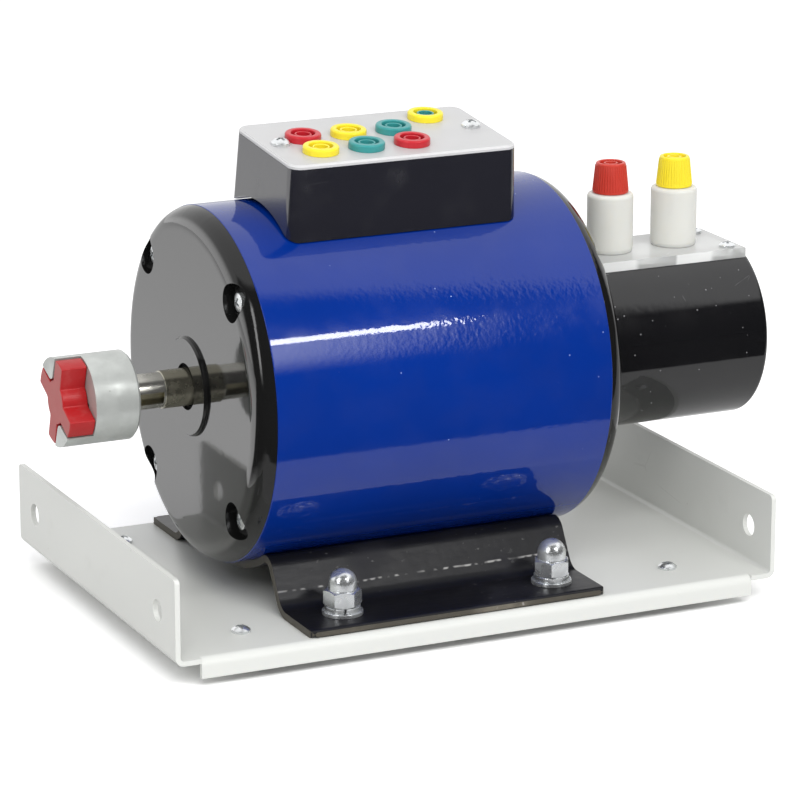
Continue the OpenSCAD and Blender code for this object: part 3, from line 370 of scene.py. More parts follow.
@dataclass(frozen=True)
class BrushedPaint(Finish):
    """Black paint brushed over bent plate: lumpy, satin, rubbed through in places."""

    # Colour of rubbed-through paint; it also paints the highlight dashes along the bend.
    bare: Colour = (0.33, 0.31, 0.29)
    rub: float = 0.25
    bend_z: float = 0.0206

    def dress(self, sheet: FinishSheet) -> None:
        """Fill the sheet with brush marks, rubbed patches and a painted highlight, broken into pale dashes,
        along the front of the bend.

        Args:
            sheet: the finish's empty tree.
        """
        along = sheet.stretched((0.25, 1.0, 1.0))
        strokes = sheet.noise(420.0, 2.0, along)
        lumps = sheet.noise(260.0, 3.0)
        dusty = sheet.noise(40.0, 5.0).step(0.5, 0.8)
        chips = sheet.noise(310.0, 4.0).step(0.7, 0.74) * sheet.noise(35.0, 2.0).step(0.5, 0.6)
        scuffs = sheet.noise(500.0, 2.0, sheet.stretched((0.1, 1.0, 1.0), (0.4, 0.5, 0.6))).step(0.68, 0.72)
        # Painted highlight: a pale line along the front of the bend, broken into dashes, in the bare colour.
        height = sheet.on("Z") + 0.0008 * sheet.noise(70.0, 1.0) - 0.0004
        line = (height - self.bend_z).band((-0.0005, -0.0001), (0.0005, 0.0001))
        front = sheet.on("Y").step(0.0, -0.01)
        broken = sheet.noise(300.0, 0.0).step(0.46, 0.62) * sheet.noise(45.0, 1.0).step(0.4, 0.55)
        painted_highlight_dashes = front * line * broken
        paint = sheet.mix(self.colour, self.shade(2.4), dusty)
        # Share of the bare colour: real chips and scuffs, and the painted highlight dashes.
        overlay_share = self.rub * (chips | 0.5 * scuffs * sheet.noise(30.0, 2.0).step(0.5, 0.62)) | 0.6 * painted_highlight_dashes
        sheet.close(sheet.principled({
            "Base Color": sheet.mix(paint, self.bare, overlay_share),
            "Roughness": self.roughness + 0.16 * dusty + 0.1 * strokes,
            "IOR": 1.36,
            "Normal": sheet.bump(lumps + 0.7 * strokes, 0.00007),
        }))


class Grain(Enum):
    """The way in which a bare metal was worked."""

    TURNED_X = (400.0, 4.0, 4.0)
    TURNED_Z = (4.0, 4.0, 400.0)
    PLAIN = (40.0, 40.0, 40.0)


@dataclass(frozen=True)
class BareMetal(Finish):
    """Bare or plated metal with its tool marks, tarnish and nicks."""

    tarnish: Colour = (0.3, 0.28, 0.25)
    stain: float = 0.3
    grain: Grain = Grain.PLAIN
    depth: float = 0.000004
    metallic: float = 1.0

    def wear_and_shade(self, sheet: FinishSheet) -> Value:
        """Return the share of tarnish, and of painted shade, that this metal has besides its blotches."""
        return 0.0

    def dress(self, sheet: FinishSheet) -> None:
        """Fill the sheet with tool marks and tarnish.

        Args:
            sheet: the finish's empty tree.
        """
        marks = sheet.noise(10.0, 3.0, sheet.stretched(self.grain.value))
        cloud = sheet.noise(120.0, 5.0)
        blotch = cloud.step(0.42, 0.72)
        nicks = sheet.specks(300.0, 0.09, 0.12)
        bare = sheet.mix(self.shade(0.9), self.shade(1.08), marks)
        sheet.close(sheet.principled({
            "Base Color": sheet.mix(bare, self.tarnish, self.stain * blotch | 0.5 * nicks | self.wear_and_shade(sheet)),
            "Metallic": self.metallic - 0.15 * blotch,
            "Roughness": self.roughness + 0.14 * blotch + 0.06 * marks,
            "Normal": sheet.bump(marks + 0.4 * cloud - nicks, self.depth),
        }))


@dataclass(frozen=True)
class ShaftMetal(BareMetal):
    """Turned steel of a shaft: browned on its thick collar, with painted shade in its keyway."""

    axis_z: float = 0.0925
    keyway_r: float = 0.0066
    collar_r: float = 0.0072

    def wear_and_shade(self, sheet: FinishSheet) -> Wire:
        """Mark the brown of the collar and the painted shade of the keyway, by distance from the axis.

        Args:
            sheet: the finish's tree.

        Returns:
            The share of tarnish colour, which in the keyway is painted shade.
        """
        spot = sheet.node("ShaderNodeVectorMath", {"operation": "MULTIPLY_ADD"},
                          {0: sheet.place, 1: (0.0, 1.0, 1.0), 2: (0.0, 0.0, -self.axis_z)})
        r = sheet.node("ShaderNodeVectorMath", {"operation": "LENGTH"}, {0: spot}, "Value")
        brown = 0.75 * r.step(self.collar_r - 0.0001, self.collar_r)
        # Painted shade: inside keyway_r the keyway floor takes the dark tarnish colour in full.
        return brown | r.step(self.keyway_r, self.keyway_r - 0.0004)


@dataclass(frozen=True)
class CastMetal(Finish):
    """Die-cast light metal: soft wrinkles under a dull skin, brighter where it is handled."""

    def dress(self, sheet: FinishSheet) -> None:
        """Fill the sheet with wrinkles, pores and a dull skin.

        Args:
            sheet: the finish's empty tree.
        """
        wrinkle = sheet.node("ShaderNodeTexVoronoi", {"feature": "SMOOTH_F1"},
                             {"Vector": sheet.place, "Scale": 210.0}, "Distance")
        rough = sheet.noise(600.0, 4.0)
        cloud = sheet.noise(90.0, 4.0).step(0.35, 0.7)
        pores = sheet.specks(420.0, 0.12, 0.1)
        skin = sheet.mix(self.shade(0.86), self.shade(1.06), cloud)
        sheet.close(sheet.principled({
            "Base Color": sheet.mix(skin, self.shade(0.45), 0.6 * pores),
            "Metallic": 0.2 + 0.25 * cloud,
            "Roughness": self.roughness + 0.12 * rough - 0.08 * cloud,
            "Normal": sheet.bump(wrinkle + 0.25 * rough - 0.5 * pores, 0.0002),
        }))


@dataclass(frozen=True)
class Moulded(Finish):
    """Moulded plastic: a faint skin texture, slow colour drift and light scuffs."""

    scuff: float = 0.1
    ior: float = 1.5
    glow: float = 0.0
    skin: float = 0.000006

    def dress(self, sheet: FinishSheet) -> None:
        """Fill the sheet with the skin and its scuffs.

        Args:
            sheet: the finish's empty tree.
        """
        drift = sheet.noise(45.0, 3.0)
        fine = sheet.noise(900.0, 2.0)
        rubbed = sheet.noise(60.0, 5.0).step(0.52, 0.8)
        lines = sheet.scratches(34.0, 0.007, 0.6, (0.4, 0.2, 0.5))
        dust = sheet.specks(260.0, 0.05, 0.16)
        body = sheet.mix(self.shade(0.93), self.shade(1.06), drift)
        pale = tuple(0.45 * c + 0.35 for c in self.colour)
        sheet.close(sheet.principled({
            "Base Color": sheet.mix(body, pale, self.scuff * (rubbed | 1.6 * lines | 2.0 * dust)),
            "Roughness": self.roughness + 0.15 * rubbed + 0.04 * fine,
            "IOR": self.ior,
            "Subsurface Weight": self.glow,
            "Subsurface Radius": (1.0, 0.9, 0.75),
            "Subsurface Scale": 0.004,
            "Normal": sheet.bump(fine + 0.5 * drift, self.skin),
        }))


@dataclass(frozen=True)
class Elastomer(Finish):
    """Cast rubbery plastic, paler on the faces that look out along the shaft."""

    # Paler colour of the end faces and of the dust.
    pale_ends_and_dust: Colour = (0.43, 0.15, 0.14)

    def dress(self, sheet: FinishSheet) -> None:
        """Fill the sheet with the cast body, its paler end faces and its dust.

        Args:
            sheet: the finish's empty tree.
        """
        outward = sheet.facing("X").step(-0.55, -0.95)
        cloud = sheet.noise(130.0, 5.0)
        fine = sheet.noise(900.0, 3.0)
        dusty = sheet.noise(260.0, 4.0).step(0.52, 0.75)
        # Faces that look out along -X take the paler colour; random dust adds a little everywhere.
        pale_ends_and_dust = outward * (0.2 + 0.7 * cloud) | 0.14 * dusty
        body = sheet.mix(self.shade(0.9), self.shade(1.1), cloud)
        sheet.close(sheet.principled({
            "Base Color": sheet.mix(body, self.pale_ends_and_dust, pale_ends_and_dust),
            "Roughness": self.roughness + 0.25 * pale_ends_and_dust,
            "Normal": sheet.bump(fine + cloud, 0.00003),
        }))


@dataclass(frozen=True)
class ClearSheet(Finish):
    """Clear acrylic with haze and dust on it, whitened partly by painted reflection."""

    # Share of the white film: the plate's haze, and partly painted reflection of the bright surroundings.
    haze: float = 0.62

    def dress(self, sheet: FinishSheet) -> None:
        """Fill the sheet with clear plastic under a white film that is its haze and partly painted
        reflection, with whiter blocks of painted reflection on its edge faces.

        Args:
            sheet: the finish's empty tree.
        """
        cloud = sheet.noise(22.0, 1.0).step(0.3, 0.8)
        lines = sheet.scratches(40.0, 0.006, 0.6, (0.1, 0.2, 0.6))
        dust = sheet.specks(280.0, 0.06, 0.15)
        # Painted reflection: whiter blocks along the edge faces.
        edge = sheet.facing("Z").step(0.8, 0.5)
        painted_reflection_blocks = sheet.noise(52.0, 1.0, sheet.stretched((1.0, 0.15, 0.15))).step(0.47, 0.53)
        clear = sheet.principled({"Base Color": self.colour, "Roughness": self.roughness,
                                  "IOR": 1.49, "Transmission Weight": 1.0})
        film = sheet.principled({"Base Color": (0.88, 0.89, 0.88), "Roughness": 0.3})
        share = self.haze * (0.8 + 0.2 * cloud) + 0.12 * lines + 0.25 * dust + edge * (0.42 * painted_reflection_blocks - 0.12)
        sheet.close(sheet.node("ShaderNodeMixShader", {}, {0: share, 1: clear, 2: film}))


@dataclass(frozen=True)
class Laminated(Finish):
    """Stacked sheet or wound wire: fine lines across one axis."""

    lines: Spot = (1500.0, 0.0, 0.0)
    seam: float = 0.45
    metallic: float = 0.9

    def dress(self, sheet: FinishSheet) -> None:
        """Fill the sheet with lines and a varnish stain.

        Args:
            sheet: the finish's empty tree.
        """
        place = sheet.stretched(self.lines)
        line = sheet.node("ShaderNodeTexWave", {"wave_type": "BANDS", "bands_direction": "DIAGONAL"},
                          {"Vector": place, "Scale": 0.3, "Distortion": 0.4})
        varnish = sheet.noise(70.0, 4.0)
        body = sheet.mix(self.shade(0.8), self.shade(1.15), varnish)
        sheet.close(sheet.principled({
            "Base Color": sheet.mix(body, self.shade(self.seam), line),
            "Metallic": self.metallic,
            "Roughness": self.roughness + 0.2 * varnish,
            "Normal": sheet.bump(line, 0.00005),
        }))


PLATE_GREY = PowderCoat("plate_grey_coat", (0.71, 0.72, 0.69), 0.36, "plate_grey")
MOTOR_BLUE = ShellEnamel("motor_blue_enamel", (0.0006, 0.0245, 0.228), 0.045, "motor_blue",
                         mark=(0.3, 0.4, 0.75), grit=0.02, haze=0.2)
SHIELD_BLACK = ShieldEnamel("shield_black_enamel", (0.008, 0.008, 0.008), 0.06, "gloss_black",
                            mark=(0.3, 0.3, 0.3), ior=2.2, peel=0.000012, peel_scale=260.0, dust=0.1)
COVER_BLACK = Enamel("cover_black_enamel", (0.006, 0.006, 0.007), 0.05, "gloss_black",
                     mark=(0.35, 0.35, 0.36), ior=1.6, peel=0.000012, peel_scale=300.0, dust=0.6,
                     grit=0.3, haze=0.12)
# The pale bare colour shows in real chips and also paints the highlight dashes along the bend.
SADDLE_BLACK = BrushedPaint("saddle_black_paint", (0.008, 0.008, 0.01), 0.27, "satin_black",
                            bare=(0.6, 0.59, 0.57))
SADDLE_EDGE = BrushedPaint("saddle_edge_paint", (0.075, 0.068, 0.054), 0.45, rub=0.9)
ZINC = BareMetal("zinc_plate", (0.82, 0.84, 0.85), 0.23, "zinc_steel",
                 tarnish=(0.5, 0.52, 0.52), metallic=0.88)
# Its tarnish colour browns the collar and also paints the shade in the keyway.
SHAFT_STEEL = ShaftMetal("shaft_turned_steel", (0.62, 0.61, 0.56), 0.21, "shaft_steel",
                         tarnish=(0.27, 0.25, 0.17), grain=Grain.TURNED_X, metallic=0.9)
BEARING_STEEL = BareMetal("bearing_ground_steel", (0.66, 0.66, 0.68), 0.16, grain=Grain.TURNED_X)
HUB_CAST = CastMetal("hub_cast_aluminium", (0.52, 0.54, 0.52), 0.34, "hub_aluminium")
SPIDER_RED = Elastomer("spider_red_elastomer", (0.403, 0.0074, 0.0099), 0.36, "spider_red")
BRASS = BareMetal("turned_brass", (0.72, 0.5, 0.2), 0.25, tarnish=(0.3, 0.2, 0.08), grain=Grain.TURNED_Z)
BLACK_RUBBER = Moulded("black_rubber", (0.018, 0.018, 0.018), 0.7, "black_rubber", scuff=0.06, skin=0.00002)
# Black rubber made darker and less reflecting than rubber is: partly painted shade, so the seal reads as the
# dark gap round the shaft.
SEAL_SHADED_RUBBER = Moulded("seal_oiled_rubber", (0.004, 0.004, 0.005), 0.85, "black_rubber", scuff=0.0, ior=1.2)
CLEAR_SHEET = ClearSheet("clear_acrylic_sheet", (0.97, 0.985, 0.98), 0.03, "clear_acrylic")
SLEEVE_WHITE = Moulded("sleeve_milky_plastic", (0.7, 0.7, 0.66), 0.38, "white_plastic", scuff=0.03, glow=0.5)
RED_PLASTIC = Moulded("red_moulded_plastic", (0.55, 0.018, 0.03), 0.33, "red_plastic", glow=0.08)
CAP_RED = Moulded("red_cap_plastic", (0.58, 0.045, 0.028), 0.34, "red_plastic", glow=0.08)
YELLOW_PLASTIC = Moulded("yellow_moulded_plastic", (0.93, 0.76, 0.03), 0.33, "yellow_plastic",
                         scuff=0.03, glow=0.08)
TEAL_PLASTIC = Moulded("teal_moulded_plastic", (0.04, 0.3, 0.3), 0.33, "teal_plastic", glow=0.08)
BOX_BLACK = Moulded("box_black_plastic", (0.013, 0.013, 0.02), 0.15, "box_black",
                    scuff=0.03, ior=2.25, skin=0.00001)
PANEL_GREY = Moulded("panel_grey_laminate", (0.56, 0.56, 0.565), 0.34, "panel_grey", scuff=0.05)
PANEL_EDGE = Moulded("panel_pale_edge", (0.66, 0.66, 0.665), 0.36, scuff=0.03)
CORE_IRON = Laminated("core_laminations", (0.3, 0.31, 0.33), 0.4)
WINDING = Laminated("winding_copper_wire", (0.6, 0.25, 0.1), 0.3, lines=(0.0, 1200.0, 1200.0))
PHENOLIC = Moulded("phenolic_moulding", (0.1, 0.035, 0.012), 0.35)
CARBON = Moulded("pressed_carbon", (0.02, 0.02, 0.022), 0.5, scuff=0.12)


# Shapes

SMOOTH_ANGLE = math.radians(40)
EDGE_ANGLE = math.radians(32)
FLAT_ANGLE = math.radians(0.5)
ROUND_STEP = math.radians(18)
WELD = 2e-6
AT_SIDE = 1e-5
ON_AXIS = 1e-8
EASE_FACES = 3
CORNER_FACES = 6


def eased(corners: Sequence[Corner], closed: bool = False) -> list[Point]:
    """Round the corners of a section, with a support point beside each round.

    Args:
        corners: radius, height and corner radius of each corner, in millimetres.
        closed: whether the last corner joins the first.

    Returns:
        Radius and height of each point, in metres.
    """
    points: list[Point] = []
    last = len(corners) - 1
    for i, (r, z, ease) in enumerate(corners):
        here = Vector((r, z))
        back = Vector(corners[i - 1][:2]) - here
        ahead = Vector(corners[(i + 1) % len(corners)][:2]) - here
        if ease <= 0 or (not closed and i in (0, last)):
            points.append((r * MM, z * MM))
            continue
        half = back.angle(ahead) / 2
        room = 0.48 * min(back.length, ahead.length)
        reach = min(ease / math.tan(half), room)
        back.normalize()
        ahead.normalize()
        centre = here + (back + ahead).normalized() * reach / math.cos(half)
        start, end = here + back * reach - centre, here + ahead * reach - centre
        sweep = start.angle_signed(end)
        steps = max(2, math.ceil(abs(sweep) / ROUND_STEP))
        support = min(1.25 * reach, 1.02 * room)
        ring = [here + back * support]
        for k in range(steps + 1):
            turn = -sweep * k / steps
            ring.append(centre + Vector((start.x * math.cos(turn) - start.y * math.sin(turn),
                                         start.x * math.sin(turn) + start.y * math.cos(turn))))
        ring.append(here + ahead * support)
        points.extend((p.x * MM, p.y * MM) for p in ring)
    return points


def arc(centre: Point, radius: float, first: float, last: float, steps: int) -> list[Corner]:
    """Return the points of an arc from first to last degrees, as corners without rounding."""
    angles = [math.radians(first + (last - first) * k / steps) for k in range(steps + 1)]
    return [(centre[0] + radius * math.cos(a), centre[1] + radius * math.sin(a), 0.0) for a in angles]


def mesh_from(bm: bmesh.types.BMesh, name: str, sharp: float = SMOOTH_ANGLE) -> bpy.types.Mesh:
    """Turn a BMesh into a smooth mesh.

    Args:
        bm: the shape, which is freed.
        name: name of the mesh.
        sharp: angle past which an edge stays sharp.

    Returns:
        The mesh.
    """
    bmesh.ops.recalc_face_normals(bm, faces=bm.faces)
    for face in bm.faces:
        face.smooth = True
    mesh = bpy.data.meshes.new(name)
    bm.to_mesh(mesh)
    bm.free()
    mesh.set_sharp_from_angle(angle=sharp)
    return mesh


def turned(name: str, section: Sequence[Point], steps: int, closed: bool = False) -> bpy.types.Mesh:
    """Turn a section about the Z axis.

    Args:
        name: name of the mesh.
        section: radius and height of each point, in metres.
        steps: number of faces round the axis.
        closed: whether the section is a loop, as of a ring.

    Returns:
        A closed mesh.
    """
    bm = bmesh.new()
    angles = [2 * math.pi * k / steps for k in range(steps)]
    rings = []
    for r, z in section:
        around = angles[:1] if r < ON_AXIS else angles
        rings.append([bm.verts.new((r * math.cos(a), r * math.sin(a), z)) for a in around])
    pairs = list(zip(rings, rings[1:])) + ([(rings[-1], rings[0])] if closed else [])
    for low, high in pairs:
        for k in range(steps):
            n = (k + 1) % steps
            loop = [low[k % len(low)], low[n % len(low)], high[n % len(high)], high[k % len(high)]]
            corners = list(dict.fromkeys(loop))
            if len(corners) > 2:
                bm.faces.new(corners)
    return mesh_from(bm, name)


def prism(name: str, outline: Sequence[Point], low: float, high: float) -> bpy.types.Mesh:
    """Raise an outline into an upright prism.

    Args:
        name: name of the mesh.
        outline: its corners in plan, in millimetres.
        low: height of its foot.
        high: height of its top.

    Returns:
        A closed mesh.
    """
    bm = bmesh.new()
    foot = [bm.verts.new((x * MM, y * MM, low * MM)) for x, y in outline]
    top = [bm.verts.new((x * MM, y * MM, high * MM)) for x, y in outline]
    bm.faces.new(foot)
    bm.faces.new(top)
    for k in range(len(foot)):
        n = (k + 1) % len(foot)
        bm.faces.new((foot[k], foot[n], top[n], top[k]))
    return mesh_from(bm, name)


def bar(long: float, wide: float, low: float, high: float) -> bpy.types.Mesh:
    """Return an upright bar with these half sides, in millimetres."""
    return prism("bit", [(-long, -wide), (long, -wide), (long, wide), (-long, wide)], low, high)


def shown(name: str, data: bpy.types.ID) -> bpy.types.Object:
    """Put a mesh, a lamp or a camera into the scene.

    Args:
        name: name of the object.
        data: what it holds.

    Returns:
        The new object.
    """
    made = bpy.data.objects.new(name, data)
    bpy.context.scene.collection.objects.link(made)
    return made


def settled(holder: bpy.types.Object) -> bpy.types.Mesh:
    """Apply an object's modifiers and remove the object.

    Args:
        holder: the object.

    Returns:
        Its plain mesh.
    """
    bpy.context.view_layer.update()
    ready = holder.evaluated_get(bpy.context.evaluated_depsgraph_get())
    mesh = bpy.data.meshes.new_from_object(ready)
    bpy.data.objects.remove(holder)
    return mesh


def combined(first: bpy.types.Mesh, second: bpy.types.Mesh, operation: str) -> bpy.types.Mesh:
    """Join or cut two closed meshes.

    Args:
        first: the mesh that is changed.
        second: the mesh that changes it.
        operation: UNION, DIFFERENCE or INTERSECT.

    Returns:
        The new mesh.
    """
    holder, tool = shown(first.name + "_holder", first), shown(second.name + "_tool", second)
    change = holder.modifiers.new("join", "BOOLEAN")
    change.operation, change.object, change.solver = operation, tool, "EXACT"
    mesh = settled(holder)
    bpy.data.objects.remove(tool)
    for polygon in mesh.polygons:
        polygon.use_smooth = True
    mesh.set_sharp_from_angle(angle=EDGE_ANGLE)
    return mesh


def softened(node: str, ease: float, edge_slot: int = 0, corner: float = 0.0) -> bpy.types.Mesh:
    """Copy a CAD node's mesh with its hard edges rounded over.

    Args:
        node: name of the CAD node.
        ease: size of the rounding, in millimetres.
        edge_slot: material slot of the rounded edges.
        corner: radius of its four outermost upright edges in plan, in millimetres.

    Returns:
        The softened mesh, with the main finish in slot 0.
    """
    bm = bmesh.new()
    bm.from_mesh(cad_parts[node].data)
    bmesh.ops.remove_doubles(bm, verts=bm.verts, dist=WELD)
    bmesh.ops.dissolve_limit(bm, angle_limit=FLAT_ANGLE, verts=bm.verts, edges=bm.edges)
    if corner:
        low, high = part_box(node)
        outer = [v for v in bm.verts
                 if all(min(v.co[k] - low[k], high[k] - v.co[k]) < AT_SIDE for k in (0, 1))]
        upright = [e for e in bm.edges if e.verts[0] in outer and e.verts[1] in outer]
        bmesh.ops.bevel(bm, geom=upright, offset=corner * MM, segments=CORNER_FACES, profile=0.5,
                        affect="EDGES")
    holder = shown(node + "_holder", mesh_from(bm, node + "_soft", EDGE_ANGLE))
    holder.data.materials.append(None)
    holder.data.materials.append(None)
    bevel = holder.modifiers.new("ease", "BEVEL")
    bevel.width, bevel.segments = ease * MM, EASE_FACES
    bevel.limit_method, bevel.angle_limit = "ANGLE", EDGE_ANGLE
    bevel.material = edge_slot
    bevel.miter_outer = "MITER_ARC"
    holder.modifiers.new("flats", "WEIGHTED_NORMAL").keep_sharp = True
    return settled(holder)


def piece(name: str, mesh: bpy.types.Mesh, finishes: Sequence[Finish], body: str, *nodes: str) -> None:
    """Put a finished piece into the scene.

    Args:
        name: name of the piece.
        mesh: its mesh, in the part's frame.
        finishes: one finish for each material slot.
        body: the CAD body that it moves with.
        nodes: CAD nodes that it stands for.
    """
    while len(mesh.materials) > len(finishes):
        mesh.materials.pop(index=len(mesh.materials) - 1)
    for k, finish in enumerate(finishes):
        if k < len(mesh.materials):
            mesh.materials[k] = finish.material()
        else:
            mesh.materials.append(finish.material())
    made = shown(name, mesh)
    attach(made, body)
    if nodes:
        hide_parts(*nodes)
    LOG.info("%s: %d faces, rides on %s", name, len(mesh.polygons), body)


def soft_piece(name: str, node: str, ease: float, finish: Finish, body: str = "frame") -> None:
    """Put a CAD node into the scene with its edges rounded by so many millimetres."""
    piece(name, softened(node, ease), [finish], body, node)


def raised(z: float) -> Matrix:
    """Return the frame at a height in millimetres."""
    return Matrix.Translation((0, 0, z * MM))


def four_spots(across: Point, y: float) -> list[Spot]:
    """Return the corners of a rectangle that lies evenly about the X axis."""
    return [(x, side, 0) for x in across for side in (-y, y)]


# Geometry Nodes


class GeometrySheet:
    """A Geometry Nodes tree with named inputs that ends in plain, finished mesh."""

    def __init__(self, name: str, inputs: dict[str, str]) -> None:
        """Make the tree with its inputs.

        Args:
            name: name of the tree.
            inputs: socket type of each named input, besides Geometry and Finish.
        """
        self.group = bpy.data.node_groups.new(name, "GeometryNodeTree")
        self.keys: dict[str, str] = {}
        face = self.group.interface
        face.new_socket("Geometry", in_out="INPUT", socket_type="NodeSocketGeometry")
        for key, kind in {**inputs, "Finish": "NodeSocketMaterial"}.items():
            self.keys[key] = face.new_socket(key, in_out="INPUT", socket_type=kind).identifier
        face.new_socket("Geometry", in_out="OUTPUT", socket_type="NodeSocketGeometry")
        self.given = self.group.nodes.new("NodeGroupInput")

    def node(self, kind: str, settings: dict[str, Any], inputs: dict[Any, Any]) -> bpy.types.Node:
        """Add one node.

        Args:
            kind: Blender's name of the node type.
            settings: properties that are set first.
            inputs: a value or a socket for each named or numbered input.

        Returns:
            The node.
        """
        made = self.group.nodes.new(kind)
        for key, value in settings.items():
            setattr(made, key, value)
        for key, value in inputs.items():
            if isinstance(value, bpy.types.NodeSocket):
                self.group.links.new(value, made.inputs[key])
            else:
                made.inputs[key].default_value = value
        return made

    def close(self, points: bpy.types.NodeSocket, item: bpy.types.NodeSocket,
              angle: bpy.types.NodeSocket) -> None:
        """End the tree with the item on every point as real, finished mesh.

        Args:
            points: where the items go.
            item: geometry of one item.
            angle: how far each item is turned about Z.
        """
        turn = self.node("ShaderNodeCombineXYZ", {}, {"Z": angle})
        placed = self.node("GeometryNodeInstanceOnPoints", {},
                           {"Points": points, "Instance": item, "Rotation": turn.outputs[0]})
        real = self.node("GeometryNodeRealizeInstances", {}, {0: placed.outputs[0]})
        dressed = self.node("GeometryNodeSetMaterial", {},
                            {"Geometry": real.outputs[0], "Material": self.given.outputs["Finish"]})
        self.node("NodeGroupOutput", {}, {0: dressed.outputs[0]})

    def run(self, name: str, mesh: bpy.types.Mesh, values: dict[str, Any]) -> bpy.types.Mesh:
        """Run the tree on a mesh.

        Args:
            name: name of the result.
            mesh: what the tree starts from.
            values: a value for each named input.

        Returns:
            The result as a plain mesh.
        """
        holder = shown(name + "_holder", mesh)
        modifier = holder.modifiers.new("nodes", "NODES")
        modifier.node_group = self.group
        for key, value in values.items():
            modifier[self.keys[key]] = value
        made = settled(holder)
        made.name = name
        return made


class Repeater(GeometrySheet):
    """Sets one item on every given point, each turned by its own chance angle about Z."""

    def __init__(self) -> None:
        """Build the tree."""
        super().__init__("repeat_item", {"Item": "NodeSocketObject", "Turn": "NodeSocketFloat",
                                         "Seed": "NodeSocketInt"})
        given = self.given.outputs
        item = self.node("GeometryNodeObjectInfo", {}, {"Object": given["Item"]})
        chance = self.node("FunctionNodeRandomValue", {"data_type": "FLOAT"},
                           {2: 0.0, 3: given["Turn"], "Seed": given["Seed"]})
        self.close(given["Geometry"], item.outputs["Geometry"], chance.outputs[1])

    def set_out(self, name: str, item: bpy.types.Mesh, spots: Sequence[Spot], finish: Finish,
                frame_of: Matrix, node: str, turn: float = 0.0, seed: int = 1) -> None:
        """Repeat an item and put the result into the scene as one piece of the frame.

        Args:
            name: name of the piece.
            item: mesh of one item, standing on Z.
            spots: where the items go in their own frame, in millimetres.
            finish: finish of the items.
            frame_of: that frame, in the part.
            node: CAD node that the piece stands for.
            turn: largest chance turn, in radians.
            seed: seed of the turns.
        """
        points = bpy.data.meshes.new(name + "_points")
        points.from_pydata([Vector(s) * MM for s in spots], [], [])
        sample = shown(name + "_item", item)
        values = {"Item": sample, "Turn": turn, "Seed": seed, "Finish": finish.material()}
        made = self.run(name, points, values)
        bpy.data.objects.remove(sample)
        made.transform(frame_of)
        piece(name, made, [finish], "frame", node)


class Ribber(GeometrySheet):
    """Sets slim upright ribs round a cone, as on the grip of a cap."""

    def __init__(self) -> None:
        """Build the tree."""
        super().__init__("grip_ribs", {"Count": "NodeSocketInt", "Foot": "NodeSocketVector",
                                       "Top": "NodeSocketVector", "Rib": "NodeSocketFloat"})
        given = self.given.outputs
        line = self.node("GeometryNodeCurvePrimitiveLine", {}, {"Start": given["Foot"], "End": given["Top"]})
        section = self.node("GeometryNodeCurvePrimitiveCircle", {}, {"Resolution": 8, "Radius": given["Rib"]})
        rib = self.node("GeometryNodeCurveToMesh", {}, {"Curve": line.outputs[0], "Fill Caps": True,
                                                        "Profile Curve": section.outputs[0]})
        points = self.node("GeometryNodePoints", {}, {"Count": given["Count"]})
        index = self.node("GeometryNodeInputIndex", {}, {})
        part = self.node("ShaderNodeMath", {"operation": "DIVIDE"}, {0: index.outputs[0], 1: given["Count"]})
        angle = self.node("ShaderNodeMath", {"operation": "MULTIPLY"}, {0: part.outputs[0], 1: 2 * math.pi})
        self.close(points.outputs[0], rib.outputs[0], angle.outputs[0])


# Fasteners

M4_HEAD = (7.5, 2.6, 4.0)
CHANCE_TURN = 1.5


@dataclass
class Screw:
    """A cross-recessed screw with its head above z = 0 and its shank below, in millimetres."""

    head_d: float
    head_h: float
    shank_d: float
    shank_l: float
    side: float = 0.35
    tip: float = 0.3
    arm: Point = (0.28, 0.075)
    floor: float = 0.4

    def mesh(self, name: str) -> bpy.types.Mesh:
        """Turn the screw and cut its recess.

        Args:
            name: name of the mesh.

        Returns:
            The screw, upright.
        """
        r, s, h = self.head_d / 2, self.shank_d / 2, self.head_h
        rise = h * (1 - self.side)
        ball = (r * r + rise * rise) / (2 * rise)
        tilt = math.degrees(math.asin(r / ball))
        dome = arc((0, h - ball), ball, 90 - tilt, 90, 8)
        low = -self.shank_l
        section = [(0, low, 0), (0.8 * s, low, 0), (s, low + self.tip, 0), (s, 0, 0), (r, 0, 0.12),
                   (r, self.side * h, 0.3), *dome[1:-1], (0, h, 0)]
        body = turned(name, eased(section), 48)
        long, wide = (share * self.head_d for share in self.arm)
        for turn in (0.0, math.pi / 2):
            bit = bar(long, wide, self.floor * h, (1 + self.floor) * h)
            bit.transform(Matrix.Rotation(turn, 4, "Z"))
            body = combined(body, bit, "DIFFERENCE")
        return body


@dataclass
class HexNut:
    """A hexagon nut with chamfered ends, open or with a domed cap, in millimetres."""

    across: float
    height: float
    bore: float
    neck: float = 0.0
    dome_r: float = 0.0
    foot_share: float = 0.97
    top_share: float = 0.96

    def mesh(self, name: str) -> bpy.types.Mesh:
        """Cut the nut from a hexagon bar.

        Args:
            name: name of the mesh.

        Returns:
            The nut, standing on z = 0.
        """
        flat, high = self.across / 2, self.height
        corner = flat / math.cos(math.pi / 6)
        hexagon = [(corner * math.cos(k * math.pi / 3), corner * math.sin(k * math.pi / 3)) for k in range(6)]
        drop = (corner - self.top_share * flat) * math.tan(math.pi / 6)
        rim = corner + 0.05
        blank = [(0, 0, 0), (self.foot_share * flat, 0, 0), (rim, drop, 0), (rim, high - drop, 0),
                 (self.top_share * flat, high, 0), (0, high, 0)]
        body = combined(prism(name, hexagon, -0.5, high + 1), turned("blank", eased(blank), 72), "INTERSECT")
        if self.dome_r:
            top, low = high + self.neck, 0.3 * high
            dome = [(0, low, 0), (self.dome_r, low, 0), *arc((0, top), self.dome_r, 0, 90, 14)[:-1],
                    (0, top + self.dome_r, 0)]
            return combined(body, turned("dome", eased(dome), 64), "UNION")
        bore = self.bore / 2
        hole = [(0, -1, 0), (bore, -1, 0), (bore, high + 1, 0), (0, high + 1, 0)]
        return combined(body, turned("hole", eased(hole), 48), "DIFFERENCE")


